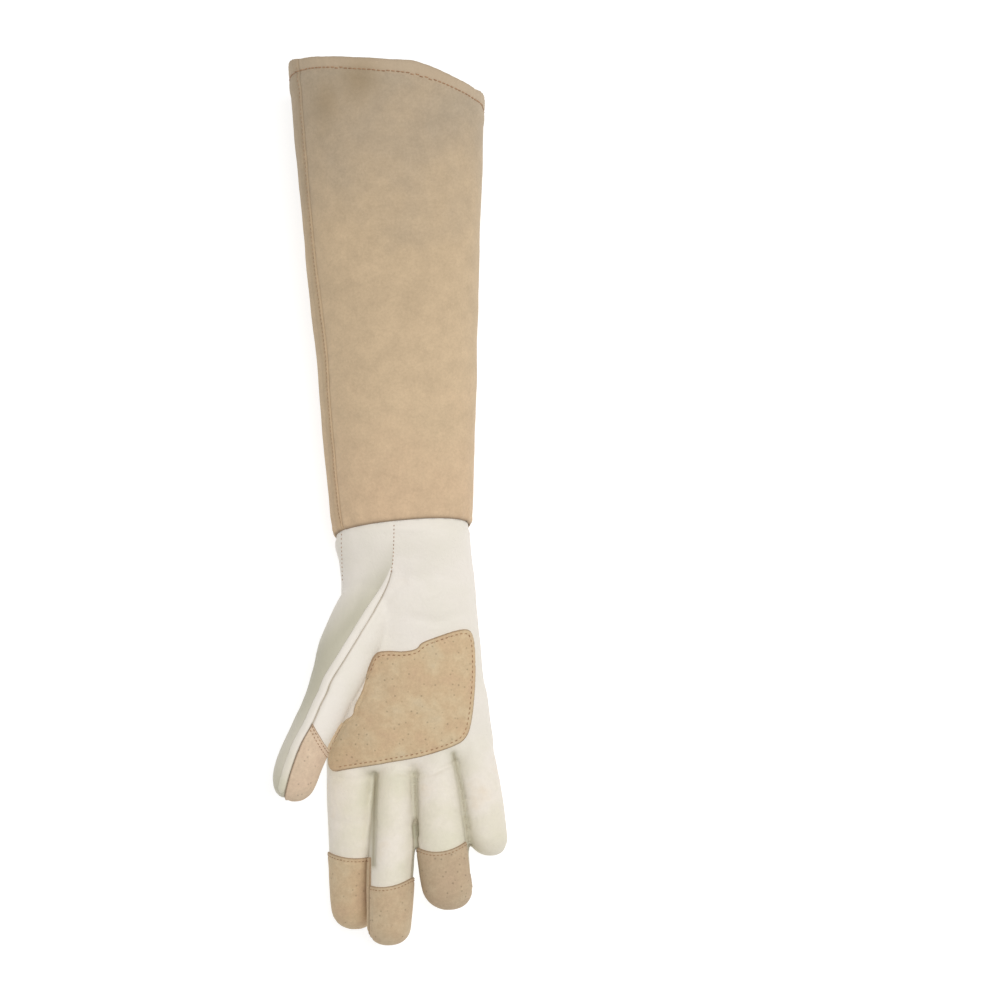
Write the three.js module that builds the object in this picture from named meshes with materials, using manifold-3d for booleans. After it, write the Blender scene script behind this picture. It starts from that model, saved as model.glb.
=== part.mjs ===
// A long rose pruning gauntlet of leather for the right hand, lying palm up with its mouth open.
// Millimetres. X runs across the hand towards the little finger, Y up the forearm and Z up from the
// surface that the back of the hand lies on. The pieces are worked out with Y at 0 on the wrist seam,
// and the finished part is set with its origin at the bottom centre of its box.
import * as THREE from "three";
import { mergeVertices } from "three/addons/utils/BufferGeometryUtils.js";
import Module from "manifold-3d";

const wasm = await Module();
wasm.setup();

// Leathers
const SUEDE = 1.6; // split suede of the cuff
const GRAIN = 1.2; // grain leather of the hand
const PATCH = 1.2; // suede of the palm patch and the fingertips
const GAP = 0.3; // between two pieces that are sewn together

// Cuff
const CUFF_LENGTH = 263; // from the wrist seam to the hem, down the middle
const MOUTH_WIDTH = 115;
const MOUTH_HEIGHT = 86;
const MOUTH_SLANT = 9; // how far the hem runs up towards the thumb side and down on the other
const MOUTH_BOW = -2.5; // how far both sides fall short of the middle
const MOUTH_RAKE = 2.5; // how far its upper edge stands past the middle
const MOUTH_SHIFT = -8.8; // the mouth's middle stands towards the thumb side
const HEM_DEPTH = 11; // the turned edge, two layers thick
const SEAM_LAP = 9; // width of the lapped seam on the thumb side
const SEAM_PROUD = 0.8; // it stands proud by this
const CUFF_SAG = 1.4; // the soft hollows and swells of the leather
const CUFF_PRESSED = 2.5; // how much of its round underside is pressed flat

// Wrist
const WRIST_WIDTH = 82; // outside the cuff
const WRIST_HEIGHT = 54;
const WRIST_SHIFT = 1.5;
const WRIST_SLANT = 3.6; // how far the seam runs up towards the little finger
const WRIST_RAKE = 4; // how far its upper side stands up the forearm
const LAP = 9; // the hand's end that is tucked into the cuff
const MARGIN = 1.5; // how far past the cuff's edge the hand keeps the cuff's shape

// Palm
const PALM_LENGTH = 136; // from the wrist seam to the webs between the fingers
const WEB_SLANT = 7; // how far the webs run up towards the little finger
const PALM_WIDTH = 98.5; // at the knuckles
const PALM_HEIGHT = 36;
const PALM_PRESSED = 1.5; // how much of the back of the hand is pressed flat
const PALM_MIDDLE = 15; // the least height of its middle
const ELASTIC_DROP = 30; // from the wrist seam to the elastic across the back
const ELASTIC_SPREAD = 9; // how far from it the leather still gathers
const ELASTIC_PINCH = 2.4; // how far it draws the back in
const GATHER_PITCH = 12.5; // from one gather to the next
const GATHER_DEPTH = 1.1;

// Fingers
const LONGEST = 101.5; // the middle finger, from the web
const FINGER_THICK = 24.5;
const FOURCHETTE = 6.2; // half the width of the strips between the fingers
const FOURCHETTE_END = 2.4; // the same at their narrow ends
const WEB = 5; // how far up from the web they reach into the hand
const FOURCHETTE_SHORT = 7; // how far they stop from the shorter finger's tip
const ROOT_PAST = 4.2; // how far past the webs the fingers' own pieces begin
const BACK_SEAM = 0.2; // how far below a finger's middle its back is sewn on, as a share of its thickness

// From the thumb side. X is the middle of the root, and with the width a share of the palm's width; long is
// a share of the longest, thick, root and rise are shares of a finger's thickness. Lean is the angle in plan,
// taper the share of the width that is gone at the tip, root the height of the middle at the web, and rise
// how far the tip curls up.
const FINGERS = [
  {
    name: "index",
    x: -0.294,
    lean: 0.8,
    width: 0.284,
    taper: 0.17,
    thick: 1,
    long: 0.926,
    root: 0.6,
    rise: -0.05,
  },
  {
    name: "middle",
    x: -0.035,
    lean: -1.4,
    width: 0.227,
    taper: -0.03,
    thick: 1,
    long: 1,
    root: 0.67,
    rise: 0.6,
  },
  {
    name: "ring",
    x: 0.209,
    lean: 5.6,
    width: 0.264,
    taper: 0,
    thick: 1.02,
    long: 0.808,
    root: 0.69,
    rise: 0.49,
  },
  {
    name: "little",
    x: 0.447,
    lean: 8.4,
    width: 0.227,
    taper: 0.03,
    thick: 0.9,
    long: 0.522,
    root: 0.67,
    rise: 0.24,
  },
].map((row) => ({
  ...row,
  x: row.x * PALM_WIDTH,
  width: row.width * PALM_WIDTH,
  thick: row.thick * FINGER_THICK,
  length: row.long * LONGEST,
  root: row.root * FINGER_THICK,
  rise: row.rise * FINGER_THICK,
}));
// Their suede tips: length as a share of the longest finger, and how far the edge runs up towards the
// little finger as a share of the finger's width
const FINGERTIPS = [
  { finger: 0, length: 0.384, slant: -0.036 },
  { finger: 1, length: 0.315, slant: 0.094 },
  { finger: 2, length: 0.34, slant: 0.081 },
].map((row) => ({
  ...row,
  length: row.length * LONGEST,
  slant: row.slant * FINGERS[row.finger].width,
}));

// Thumb: the middle of its tip, across, down from the wrist seam, and up
const THUMB_TIP_X = -62.5;
const THUMB_TIP_Y = -155;
const THUMB_TIP_Z = 45;
const THUMB_WIDTH = 29;
const THUMB_THICK = 27;
const THUMB_CROTCH = 94.7; // from the wrist seam
const THUMB_PAST = 6; // how far past the crotch the thumb's own front begins

// Facets around each tube
const TUBE_SIDES = 32;
const FINGER_SIDES = 14;
const THUMB_SIDES = 16;

const BUFF = { color: 0xc9b495, roughness: 0.95, metalness: 0 };
const TAN = { color: 0xccb99a, roughness: 0.95, metalness: 0 };
const CREAM = { color: 0xe8e1d5, roughness: 0.6, metalness: 0 };

// Solids

function solid(points, faces) {
  const mesh = new wasm.Mesh({
    numProp: 3,
    vertProperties: new Float32Array(points.flatMap((p) => [p.x, p.y, p.z])),
    triVerts: new Uint32Array(faces),
  });
  return new wasm.Manifold(mesh);
}

// A closed solid through rings of equal counts, running down the hand
function loft(rings) {
  const count = rings[0].length;
  const points = rings.flat();
  const faces = [];
  for (let r = 0; r + 1 < rings.length; r += 1) {
    for (let i = 0; i < count; i += 1) {
      const a = r * count + i;
      const b = r * count + ((i + 1) % count);
      faces.push(a, b, b + count, a, b + count, a + count);
    }
  }
  for (const last of [false, true]) {
    const start = last ? (rings.length - 1) * count : 0;
    const middle = new THREE.Vector3();
    points.slice(start, start + count).forEach((p) => middle.addScaledVector(p, 1 / count));
    points.push(middle);
    for (let i = 0; i < count; i += 1) {
      const a = start + i;
      const b = start + ((i + 1) % count);
      faces.push(points.length - 1, ...(last ? [a, b] : [b, a]));
    }
  }
  return solid(points, faces);
}

// An upright prism over an outline in plan, which is a list of [x, y]
function prism(outline, bottom, top) {
  const shape = new THREE.Shape(outline.map(([x, y]) => new THREE.Vector2(x, y)));
  let geometry = new THREE.ExtrudeGeometry(shape, { depth: top - bottom, bevelEnabled: false });
  geometry.deleteAttribute("normal");
  geometry.deleteAttribute("uv");
  geometry.translate(0, 0, bottom);
  geometry = mergeVertices(geometry, 1e-4);
  const at = geometry.attributes.position;
  const points = [];
  for (let i = 0; i < at.count; i += 1) {
    points.push(new THREE.Vector3().fromBufferAttribute(at, i));
  }
  return solid(points, Array.from(geometry.index.array));
}

function mix(a, b, share) {
  return a + (b - a) * share;
}

// One ring around a section of a leather tube, moved outwards by grow. What lies under the section's
// rest level is pressed flat on it.
function ring(section, grow) {
  const count = section.count;
  const points = [];
  for (let i = 0; i < count; i += 1) {
    const angle = ((i + 0.5) / count) * 2 * Math.PI;
    const c = Math.cos(angle);
    const s = Math.sin(angle);
    const x = Math.sign(c) * Math.abs(c) ** (2 / section.power);
    const z = Math.sign(s) * Math.abs(s) ** (2 / section.power);
    const swell = section.swell ? section.swell(angle) : 0;
    const p = section.centre.clone();
    p.addScaledVector(section.side, x * (section.wide + swell + grow));
    p.addScaledVector(section.up, z * (section.high + swell + grow));
    p.y += (section.slant ?? 0) * x + (section.bow ?? 0) * x * x + (section.rake ?? 0) * z;
    let rest = section.rest;
    if (section.gather && s < 0) {
      const ripple = Math.cos((2 * Math.PI * p.x) / GATHER_PITCH);
      rest += section.gather * (ELASTIC_PINCH + GATHER_DEPTH * ripple);
    }
    p.z = Math.max(p.z, rest - grow);
    points.push(p);
  }
  return points;
}

const ACROSS = new THREE.Vector3(1, 0, 0);
const UP = new THREE.Vector3(0, 0, 1);

// Cuff

function cuffSection(share) {
  const high = mix(WRIST_HEIGHT, MOUTH_HEIGHT, share) / 2;
  const wave = Math.sin(Math.PI * share);
  return {
    count: TUBE_SIDES,
    power: 2.25,
    centre: new THREE.Vector3(mix(WRIST_SHIFT, MOUTH_SHIFT, share), CUFF_LENGTH * share, high - CUFF_PRESSED),
    side: ACROSS,
    up: UP,
    wide: mix(WRIST_WIDTH, MOUTH_WIDTH, share) / 2,
    high,
    rest: 0,
    slant: mix(WRIST_SLANT, -MOUTH_SLANT, share),
    rake: mix(WRIST_RAKE, MOUTH_RAKE, share),
    bow: MOUTH_BOW * share,
    swell: (angle) => CUFF_SAG * wave * Math.sin(3 * angle + 9 * share) * Math.max(0, Math.sin(angle)),
  };
}

const CUFF_SHARES = [0, 0.06, 0.2, 0.35, 0.5, 0.65, 0.8, 0.92, 1];

// The cuff's tube moved outwards by grow, between two shares of its length
function cuffTube(grow, from = 0, to = 1) {
  const between = CUFF_SHARES.filter((share) => share > from && share < to);
  const shares = [from, ...between, to].sort((a, b) => b - a);
  return loft(shares.map((share) => ring(cuffSection(share), grow)));
}

const hemStart = 1 - HEM_DEPTH / CUFF_LENGTH;
const low = [WRIST_SHIFT - 0.415 * WRIST_WIDTH, -LAP];
const high = [MOUTH_SHIFT - 0.425 * MOUTH_WIDTH, CUFF_LENGTH + LAP];
const lapped = prism(
  [low, high, [high[0] - SEAM_LAP, high[1]], [low[0] - SEAM_LAP, low[1]]],
  WRIST_HEIGHT * 0.3,
  MOUTH_HEIGHT,
);
const cuff = cuffTube(0)
  .add(cuffTube(SEAM_PROUD).intersect(lapped))
  .subtract(cuffTube(-SUEDE, -0.01, 1.01))
  .add(cuffTube(-SUEDE / 2, hemStart).subtract(cuffTube(-2 * SUEDE, hemStart - 0.01, 1.01)));

// Hand

// Down the palm: drop as a share of its length, the edges on the thumb side and on the little finger's
// side as shares of its width, and its height as a share of the height at the middle of the palm
const PALM_ROWS = [
  { drop: 0.06, thumb: 0.39, little: 0.421, high: 1.36 },
  { drop: 0.14, thumb: 0.365, little: 0.432, high: 1.26 },
  { drop: 0.21, thumb: 0.354, little: 0.442, high: 1.2 },
  { drop: 0.29, thumb: 0.354, little: 0.45, high: 1.17 },
  { drop: 0.38, thumb: 0.366, little: 0.462, high: 1.12 },
  { drop: 0.5, thumb: 0.386, little: 0.48, high: 1.05 },
  { drop: 0.62, thumb: 0.4, little: 0.492, high: 1 },
  { drop: 0.75, thumb: 0.412, little: 0.522, high: 0.95 },
  { drop: 0.88, thumb: 0.425, little: 0.541, high: 0.87 },
  { drop: 0.965, thumb: 0.43, little: 0.558, high: 0.79 },
  { drop: 1.005, thumb: 0.42, little: 0.555, high: 0.66 },
  { drop: 1.02, thumb: 0.4, little: 0.54, high: 0.44 },
];

function palmSection(row) {
  const near = (row.drop * PALM_LENGTH - ELASTIC_DROP) / ELASTIC_SPREAD;
  return {
    count: TUBE_SIDES,
    power: 2.4,
    centre: new THREE.Vector3(
      ((row.little - row.thumb) / 2) * PALM_WIDTH,
      -row.drop * PALM_LENGTH,
      Math.max((PALM_HEIGHT * row.high) / 2 - PALM_PRESSED, PALM_MIDDLE),
    ),
    side: ACROSS,
    up: UP,
    wide: ((row.little + row.thumb) / 2) * PALM_WIDTH,
    high: (PALM_HEIGHT * row.high) / 2,
    rest: 0,
    slant: WEB_SLANT * Math.max(0, row.drop * 2 - 1),
    gather: Math.exp(-near * near),
  };
}

// The hand's end is the cuff's own section, less the cuff's wall
function wristSection(y) {
  const section = cuffSection(0);
  section.wide -= SUEDE + GAP;
  section.high -= SUEDE + GAP;
  section.rest = SUEDE + GAP;
  section.centre.y = y;
  return section;
}

function palmTube(grow, over = 0) {
  const tucked = [LAP + over, -MARGIN].map((y) => ring(wristSection(y), grow));
  const sections = PALM_ROWS.map(palmSection);
  for (const section of sections.slice(-2)) {
    section.centre.y -= grow;
  }
  return loft([...tucked, ...sections.map((section) => ring(section, grow))]);
}

// Down a finger: place as a share of its length from the web, and its size as a share of the root's
const FINGER_ROWS = [
  { place: -0.28, size: 0.92, tipward: 0 },
  { place: -0.05, size: 1, tipward: 0 },
  { place: 0.2, size: 1, tipward: 0.2 },
  { place: 0.45, size: 1, tipward: 0.7 },
  { place: 0.68, size: 0.99, tipward: 1 },
  { place: 0.84, size: 0.96, tipward: 1 },
];
// The round end: how far from the tip and how wide, as shares of half the width
const END_ROWS = [
  { back: 0.62, size: 0.86 },
  { back: 0.3, size: 0.69 },
  { back: 0.1, size: 0.45 },
  { back: 0, size: 0.2 },
];

function fingerCentre(finger, place) {
  const curl = place > 0 ? 1 - (1 - Math.min(place, 1)) ** 2 : 0;
  const out = finger.length * place;
  return new THREE.Vector3(
    finger.x + out * Math.sin(THREE.MathUtils.degToRad(finger.lean)),
    -PALM_LENGTH - out * Math.cos(THREE.MathUtils.degToRad(finger.lean)),
    finger.root + finger.rise * curl,
  );
}

function fingerTube(finger, grow, rows = FINGER_ROWS) {
  const half = finger.width / 2;
  const end = END_ROWS.map((row) => ({
    place: 1 - (row.back * half - (grow * (1 - row.back))) / finger.length,
    size: row.size,
    tipward: 1,
  }));
  const rings = [...rows, ...end].map((row) => {
    const section = {
      count: FINGER_SIDES,
      power: 2.15,
      centre: fingerCentre(finger, row.place),
      side: ACROSS,
      up: UP,
      wide: half * row.size * (1 - finger.taper * row.tipward),
      high: (finger.thick / 2) * row.size,
      rest: 0,
    };
    return ring(section, grow);
  });
  return loft(rings);
}

// The thumb's middle line from inside the palm to the tip: shares of the tip's place and of its size
const THUMB_ROWS = [
  { x: 0.16, y: 0.2, z: 0.5, wide: 1.2, thick: 1.15 },
  { x: 0.32, y: 0.32, z: 0.6, wide: 1.26, thick: 1.22 },
  { x: 0.47, y: 0.44, z: 0.7, wide: 1.22, thick: 1.16 },
  { x: 0.59, y: 0.55, z: 0.8, wide: 1.13, thick: 1.08 },
  { x: 0.71, y: 0.66, z: 0.88, wide: 1.04, thick: 1.02 },
  { x: 0.83, y: 0.77, z: 0.95, wide: 0.99, thick: 1 },
  { x: 0.92, y: 0.87, z: 0.99, wide: 0.96, thick: 0.96 },
  { x: 0.962, y: 0.94, z: 1, wide: 0.84, thick: 0.86 },
  { x: 0.985, y: 0.975, z: 1, wide: 0.66, thick: 0.7 },
  { x: 0.997, y: 0.994, z: 1, wide: 0.42, thick: 0.44 },
  { x: 1, y: 1, z: 1, wide: 0.2, thick: 0.2 },
];

function thumbPoint(row) {
  return new THREE.Vector3(THUMB_TIP_X * row.x, THUMB_TIP_Y * row.y, THUMB_TIP_Z * row.z);
}

function thumbTube(grow, rows = THUMB_ROWS) {
  const places = rows.map(thumbPoint);
  const rings = rows.map((row, i) => {
    const ahead = places[Math.min(i + 1, rows.length - 1)].clone();
    ahead.sub(places[Math.max(i - 1, 0)]).normalize();
    const side = new THREE.Vector3().crossVectors(ahead, UP).normalize();
    const centre = places[i].clone();
    centre.addScaledVector(ahead, i + 3 > rows.length ? grow : 0);
    const section = {
      count: THUMB_SIDES,
      power: 2.1,
      centre,
      side: side.x < 0 ? side.negate() : side,
      up: UP,
      wide: (THUMB_WIDTH / 2) * row.wide,
      high: (THUMB_THICK / 2) * row.thick,
      rest: 0,
    };
    return ring(section, grow);
  });
  return loft(rings);
}

function wholeHand(grow, over = 0) {
  let whole = palmTube(grow, over).add(thumbTube(grow));
  for (const finger of FINGERS) {
    whole = whole.add(fingerTube(finger, grow));
  }
  return whole;
}

const shell = wholeHand(0).subtract(wholeHand(-GRAIN, 1));

// The seams at the thumb side: the welt over the palm and down the thumb's front, and the ridge over the
// back. Drop is a share of the way to the thumb's crotch, x of the palm's width, and parting, the height
// where the two sides part, a share of the palm's.
const SIDE_ROWS = [
  { drop: -0.13, welt: -0.041, ridge: -0.416, parting: 0.67 },
  { drop: 0, welt: -0.041, ridge: -0.406, parting: 0.67 },
  { drop: 0.306, welt: -0.041, ridge: -0.305, parting: 0.67 },
  { drop: 0.433, welt: -0.115, ridge: -0.297, parting: 0.67 },
  { drop: 0.644, welt: -0.243, ridge: -0.312, parting: 0.78 },
  { drop: 0.792, welt: -0.332, ridge: -0.315, parting: 0.86 },
  { drop: 0.95, welt: -0.415, ridge: -0.328, parting: 0.955 },
  { drop: 1, welt: -0.437, ridge: -0.365, parting: 0.98 },
];
// Past the crotch, drop is a share of the way on to the tip, and the others of the tip's place
const THUMB_SIDE_ROWS = [
  { drop: 0, welt: 0.691, ridge: 0.58, parting: 0.79 },
  { drop: 0.088, welt: 0.728, ridge: 0.64, parting: 0.816 },
  { drop: 0.287, welt: 0.82, ridge: 0.544, parting: 0.872 },
  { drop: 0.469, welt: 0.915, ridge: 0.6, parting: 0.911 },
  { drop: 0.735, welt: 1.027, ridge: 0.71, parting: 0.956 },
  { drop: 1.017, welt: 1.088, ridge: 0.88, parting: 0.98 },
  { drop: 1.28, welt: 1.152, ridge: 0.99, parting: 1 },
];
const THUMB_UNDERSIDE = 0.565 * THUMB_TIP_Z; // the lowest level of the thumb's own leather
const FAR = 130;

// Everything on the thumb side of both seams
function thumbSide(grow) {
  const hand = SIDE_ROWS.map((row) => ({
    y: -row.drop * THUMB_CROTCH,
    ridge: row.ridge * PALM_WIDTH,
    welt: row.welt * PALM_WIDTH,
    parting: row.parting * PALM_HEIGHT,
    under: -FAR,
  }));
  const thumb = THUMB_SIDE_ROWS.map((row) => ({
    y: mix(-THUMB_CROTCH, THUMB_TIP_Y, row.drop),
    ridge: row.ridge * THUMB_TIP_X,
    welt: row.welt * THUMB_TIP_X,
    parting: row.parting * THUMB_TIP_Z,
    under: THUMB_UNDERSIDE,
  }));
  hand.at(-1).y -= grow;
  thumb[0].y -= grow;
  return loft(
    [...hand, ...thumb].map((row) => {
      const ridge = row.ridge + grow;
      const welt = row.welt + grow;
      const parting = row.parting + grow * Math.sign(ridge - welt);
      const corners = [
        [ridge, row.under - grow],
        [ridge, parting],
        [welt, parting + 0.01],
        [welt, FAR],
        [-FAR, FAR],
        [-FAR, row.under - grow],
      ];
      return corners.map(([x, z]) => new THREE.Vector3(x, row.y, z));
    }),
  );
}

// The strip between two fingers, with the web at its bottom
function betweenFingers(first, second, grow) {
  const reach = Math.min(first.length, second.length) - FOURCHETTE_SHORT;
  const rings = [];
  for (const out of [-WEB, 0.15 * reach, 0.35 * reach, 0.6 * reach, 0.8 * reach, reach]) {
    const half = mix(FOURCHETTE, FOURCHETTE_END, Math.max(0, out / reach) ** 2) + grow;
    const a = fingerCentre(first, out / first.length);
    const b = fingerCentre(second, out / second.length);
    const y = -PALM_LENGTH - out - (out === reach ? grow : 0) + (out === -WEB ? grow : 0);
    const corners = [
      [b.x, b.z - half],
      [b.x, b.z + half],
      [a.x, a.z + half],
      [a.x, a.z - half],
    ];
    rings.push(corners.map(([x, z]) => new THREE.Vector3(x, y, z)));
  }
  return loft(rings);
}

// The palm's own body from the thumb's crotch on, or from a little further
function palmBeyond(grow, later = 0) {
  const past = [
    [-FAR, -THUMB_CROTCH - later],
    [-FAR, -2 * PALM_LENGTH],
    [0, -2 * PALM_LENGTH],
    [0, -THUMB_CROTCH - later],
  ];
  return palmTube(grow).intersect(prism(past, -FAR, FAR));
}

// The seam across the thumb's back, from the crotch to the outer side, parts the wing from the thumb's back
function aboveCross(grow) {
  const slope = 0.476;
  const corner = [0.24 * -PALM_WIDTH, -1.2 * THUMB_CROTCH - grow];
  const outline = [
    [-FAR, corner[1] + slope * (FAR + corner[0])],
    corner,
    [FAR, corner[1]],
    [FAR, FAR],
    [-FAR, FAR],
  ];
  return prism(outline, -FAR, FAR);
}

const side = shell.intersect(thumbSide(0).subtract(palmBeyond(0)));
const wing = side.intersect(aboveCross(0));
const thumbBack = side.subtract(aboveCross(GAP)).subtract(palmBeyond(GAP));

let trank = shell.subtract(thumbSide(GAP).subtract(palmBeyond(0, GAP)));
const pairs = [0, 1, 2].map((i) => [FINGERS[i], FINGERS[i + 1]]);
const fourchettes = pairs.map(([first, second]) => shell.intersect(betweenFingers(first, second, 0)));
for (const [first, second] of pairs) {
  trank = trank.subtract(betweenFingers(first, second, GAP));
}

// Everything past the fingers' roots, on a line that runs as the webs do
function pastRoots(later) {
  const last = palmSection(PALM_ROWS.at(-1));
  const line = (x) => -PALM_LENGTH - ROOT_PAST - later + (last.slant * (x - last.centre.x)) / last.wide;
  const outline = [
    [-FAR, line(-FAR)],
    [-FAR, -3 * PALM_LENGTH],
    [FAR, -3 * PALM_LENGTH],
    [FAR, line(FAR)],
  ];
  return prism(outline, -FAR, FAR);
}

// The front of the thumb past its crotch, where it stands clear of the palm
function thumbPast(grow, later) {
  const outline = [
    [-FAR, -THUMB_CROTCH - THUMB_PAST - later],
    [-FAR, -3 * PALM_LENGTH],
    [FAR, -3 * PALM_LENGTH],
    [FAR, -THUMB_CROTCH - THUMB_PAST - later],
  ];
  return thumbTube(grow).subtract(palmTube(later)).intersect(prism(outline, -FAR, FAR));
}

// The hand is cut in one with the fronts and backs of the fingers. It is parted at their roots into pieces
// that are each a plain tube.
const fingers = FINGERS.map((finger) => {
  return trank.intersect(fingerTube(finger, GAP / 2)).intersect(pastRoots(GAP));
});
const thumbFront = trank.intersect(thumbPast(GAP / 2, GAP));
trank = trank.subtract(pastRoots(0)).subtract(thumbPast(GAP, 0));

// Suede over the palm and the fingertips

// The palm patch in plan, from its corner by the thumb towards the little finger and round: x is a share
// of the palm's width and drop of its length
const PATCH_ROWS = [
  { x: -0.193, drop: 0.537 },
  { x: -0.152, drop: 0.521 },
  { x: -0.081, drop: 0.518 },
  { x: 0.03, drop: 0.522 },
  { x: 0.119, drop: 0.5 },
  { x: 0.238, drop: 0.454 },
  { x: 0.386, drop: 0.419 },
  { x: 0.432, drop: 0.441 },
  { x: 0.445, drop: 0.544 },
  { x: 0.445, drop: 0.676 },
  { x: 0.426, drop: 0.824 },
  { x: 0.391, drop: 0.897 },
  { x: 0.296, drop: 0.93 },
  { x: 0.148, drop: 0.965 },
  { x: -0.059, drop: 0.992 },
  { x: -0.296, drop: 1.019 },
  { x: -0.386, drop: 1.029 },
  { x: -0.406, drop: 0.941 },
  { x: -0.386, drop: 0.794 },
  { x: -0.274, drop: 0.698 },
  { x: -0.218, drop: 0.617 },
];
const patchOutline = PATCH_ROWS.map((row) => [row.x * PALM_WIDTH, -row.drop * PALM_LENGTH]);
let knuckles = palmTube(PATCH + GAP);
let beneath = palmTube(GAP).add(thumbTube(GAP));
for (const finger of FINGERS) {
  knuckles = knuckles.add(fingerTube(finger, PATCH + GAP));
  beneath = beneath.add(fingerTube(finger, GAP));
}
const palmPatch = knuckles.intersect(prism(patchOutline, PALM_HEIGHT * 0.55, FAR)).subtract(beneath);

// Everything above the seam along the back of a finger, from a place on it to past its end
function aboveBack(finger, from) {
  const rings = [from, mix(from, 1, 0.4), mix(from, 1, 0.75), 1, 1.3].map((place) => {
    const middle = fingerCentre(finger, place);
    const seam = middle.z - BACK_SEAM * finger.thick;
    const corners = [
      [middle.x + finger.width, seam],
      [middle.x + finger.width, FAR],
      [middle.x - finger.width, FAR],
      [middle.x - finger.width, seam],
    ];
    return corners.map(([x, z]) => new THREE.Vector3(x, middle.y, z));
  });
  return loft(rings);
}

// The suede covers the front and the sides of a fingertip and stops at the seam of its back
function fingertip(row) {
  const finger = FINGERS[row.finger];
  const edge = -PALM_LENGTH - finger.length + row.length;
  const tip = fingerCentre(finger, 1);
  const out = finger.width;
  const rise = 2 * row.slant;
  const outline = [
    [tip.x - out, edge - rise],
    [tip.x - out, edge - 2 * row.length],
    [tip.x + out, edge - 2 * row.length],
    [tip.x + out, edge + rise],
  ];
  const covered = prism(outline, -FAR, FAR).intersect(aboveBack(finger, 0.4));
  return fingerTube(finger, PATCH + GAP).intersect(covered).subtract(fingerTube(finger, GAP));
}

// The thumb tip's edge in plan, as shares of the tip's place: a slanted line over the front, then the welt
const THUMB_TIP_ROWS = [
  { x: 0.822, y: 0.727 },
  { x: 0.915, y: 0.794 },
  { x: 1.027, y: 0.897 },
  { x: 1.088, y: 1.006 },
  { x: 1.152, y: 1.129 },
  { x: 0.48, y: 1.129 },
  { x: 0.48, y: 0.968 },
];
const thumbTipRegion = prism(
  THUMB_TIP_ROWS.map((row) => [row.x * THUMB_TIP_X, row.y * THUMB_TIP_Y]),
  THUMB_TIP_Z * 0.89,
  FAR,
);
const thumbTip = thumbTube(PATCH + GAP).intersect(thumbTipRegion).subtract(thumbTube(GAP));

// The part

const group = new THREE.Group();
group.name = "rose_gauntlet";

function piece(name, body, finish) {
  const got = body.getMesh();
  const geometry = new THREE.BufferGeometry();
  geometry.setAttribute("position", new THREE.BufferAttribute(new Float32Array(got.vertProperties), 3));
  geometry.setIndex(new THREE.BufferAttribute(new Uint32Array(got.triVerts), 1));
  geometry.computeVertexNormals();
  const mesh = new THREE.Mesh(geometry, new THREE.MeshStandardMaterial(finish));
  mesh.name = name;
  group.add(mesh);
}

piece("cuff", cuff, BUFF);
piece("hand_trank", trank, CREAM);
FINGERS.forEach((finger, i) => {
  piece(`${finger.name}_finger`, fingers[i], CREAM);
});
piece("wing", wing, CREAM);
piece("thumb_front", thumbFront, CREAM);
piece("thumb_back", thumbBack, CREAM);
pairs.forEach(([first, second], i) => {
  piece(`fourchette_${first.name}_${second.name}`, fourchettes[i], CREAM);
});
piece("palm_patch", palmPatch, TAN);
for (const row of FINGERTIPS) {
  piece(`${FINGERS[row.finger].name}_tip`, fingertip(row), TAN);
}
piece("thumb_tip", thumbTip, TAN);

const box = new THREE.Box3().setFromObject(group);
const centre = box.getCenter(new THREE.Vector3());
group.position.set(-centre.x, -centre.y, -box.min.z);
group.updateMatrixWorld(true);

export default group;
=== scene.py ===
import math

import bpy
import numpy as np
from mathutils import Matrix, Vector, noise
from mathutils.bvhtree import BVHTree
from mathutils.kdtree import KDTree


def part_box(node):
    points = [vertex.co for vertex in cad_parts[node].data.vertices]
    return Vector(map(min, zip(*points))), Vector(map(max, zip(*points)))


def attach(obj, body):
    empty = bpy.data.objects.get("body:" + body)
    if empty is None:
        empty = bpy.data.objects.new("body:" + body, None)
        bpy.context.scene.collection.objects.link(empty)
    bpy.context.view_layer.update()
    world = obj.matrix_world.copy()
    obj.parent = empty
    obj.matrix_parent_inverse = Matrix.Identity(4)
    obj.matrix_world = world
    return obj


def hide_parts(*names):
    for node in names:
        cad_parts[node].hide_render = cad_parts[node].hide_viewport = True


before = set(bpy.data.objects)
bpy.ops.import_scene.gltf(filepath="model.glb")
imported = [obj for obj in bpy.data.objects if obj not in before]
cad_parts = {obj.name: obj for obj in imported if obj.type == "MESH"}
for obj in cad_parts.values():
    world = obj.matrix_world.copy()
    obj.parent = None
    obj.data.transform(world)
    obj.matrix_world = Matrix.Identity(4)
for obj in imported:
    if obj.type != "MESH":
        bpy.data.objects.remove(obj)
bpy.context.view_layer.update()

# The cuff: one panel of split cowhide suede, rolled into a flaring tube 263 mm long. Its long edges lap on
# the thumb side, where a row of stitches holds them, and the edge of the mouth is turned in and stitched.

# The glove is drawn in its own millimetres, from the middle of the wrist seam. Where the patch lies in the
# frame, and how far it reaches across and down the palm, give the shift from one to the other.
PALM_WIDTH, PALM_LENGTH = 98.5, 136.0
PATCH_ACROSS, PATCH_DOWN = 0.445, 1.029
patch_low, patch_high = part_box("palm_patch")
SHIFT = np.array([
    patch_high[0] * 1000 - PATCH_ACROSS * PALM_WIDTH, patch_low[1] * 1000 + PATCH_DOWN * PALM_LENGTH, 0.0,
])

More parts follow.
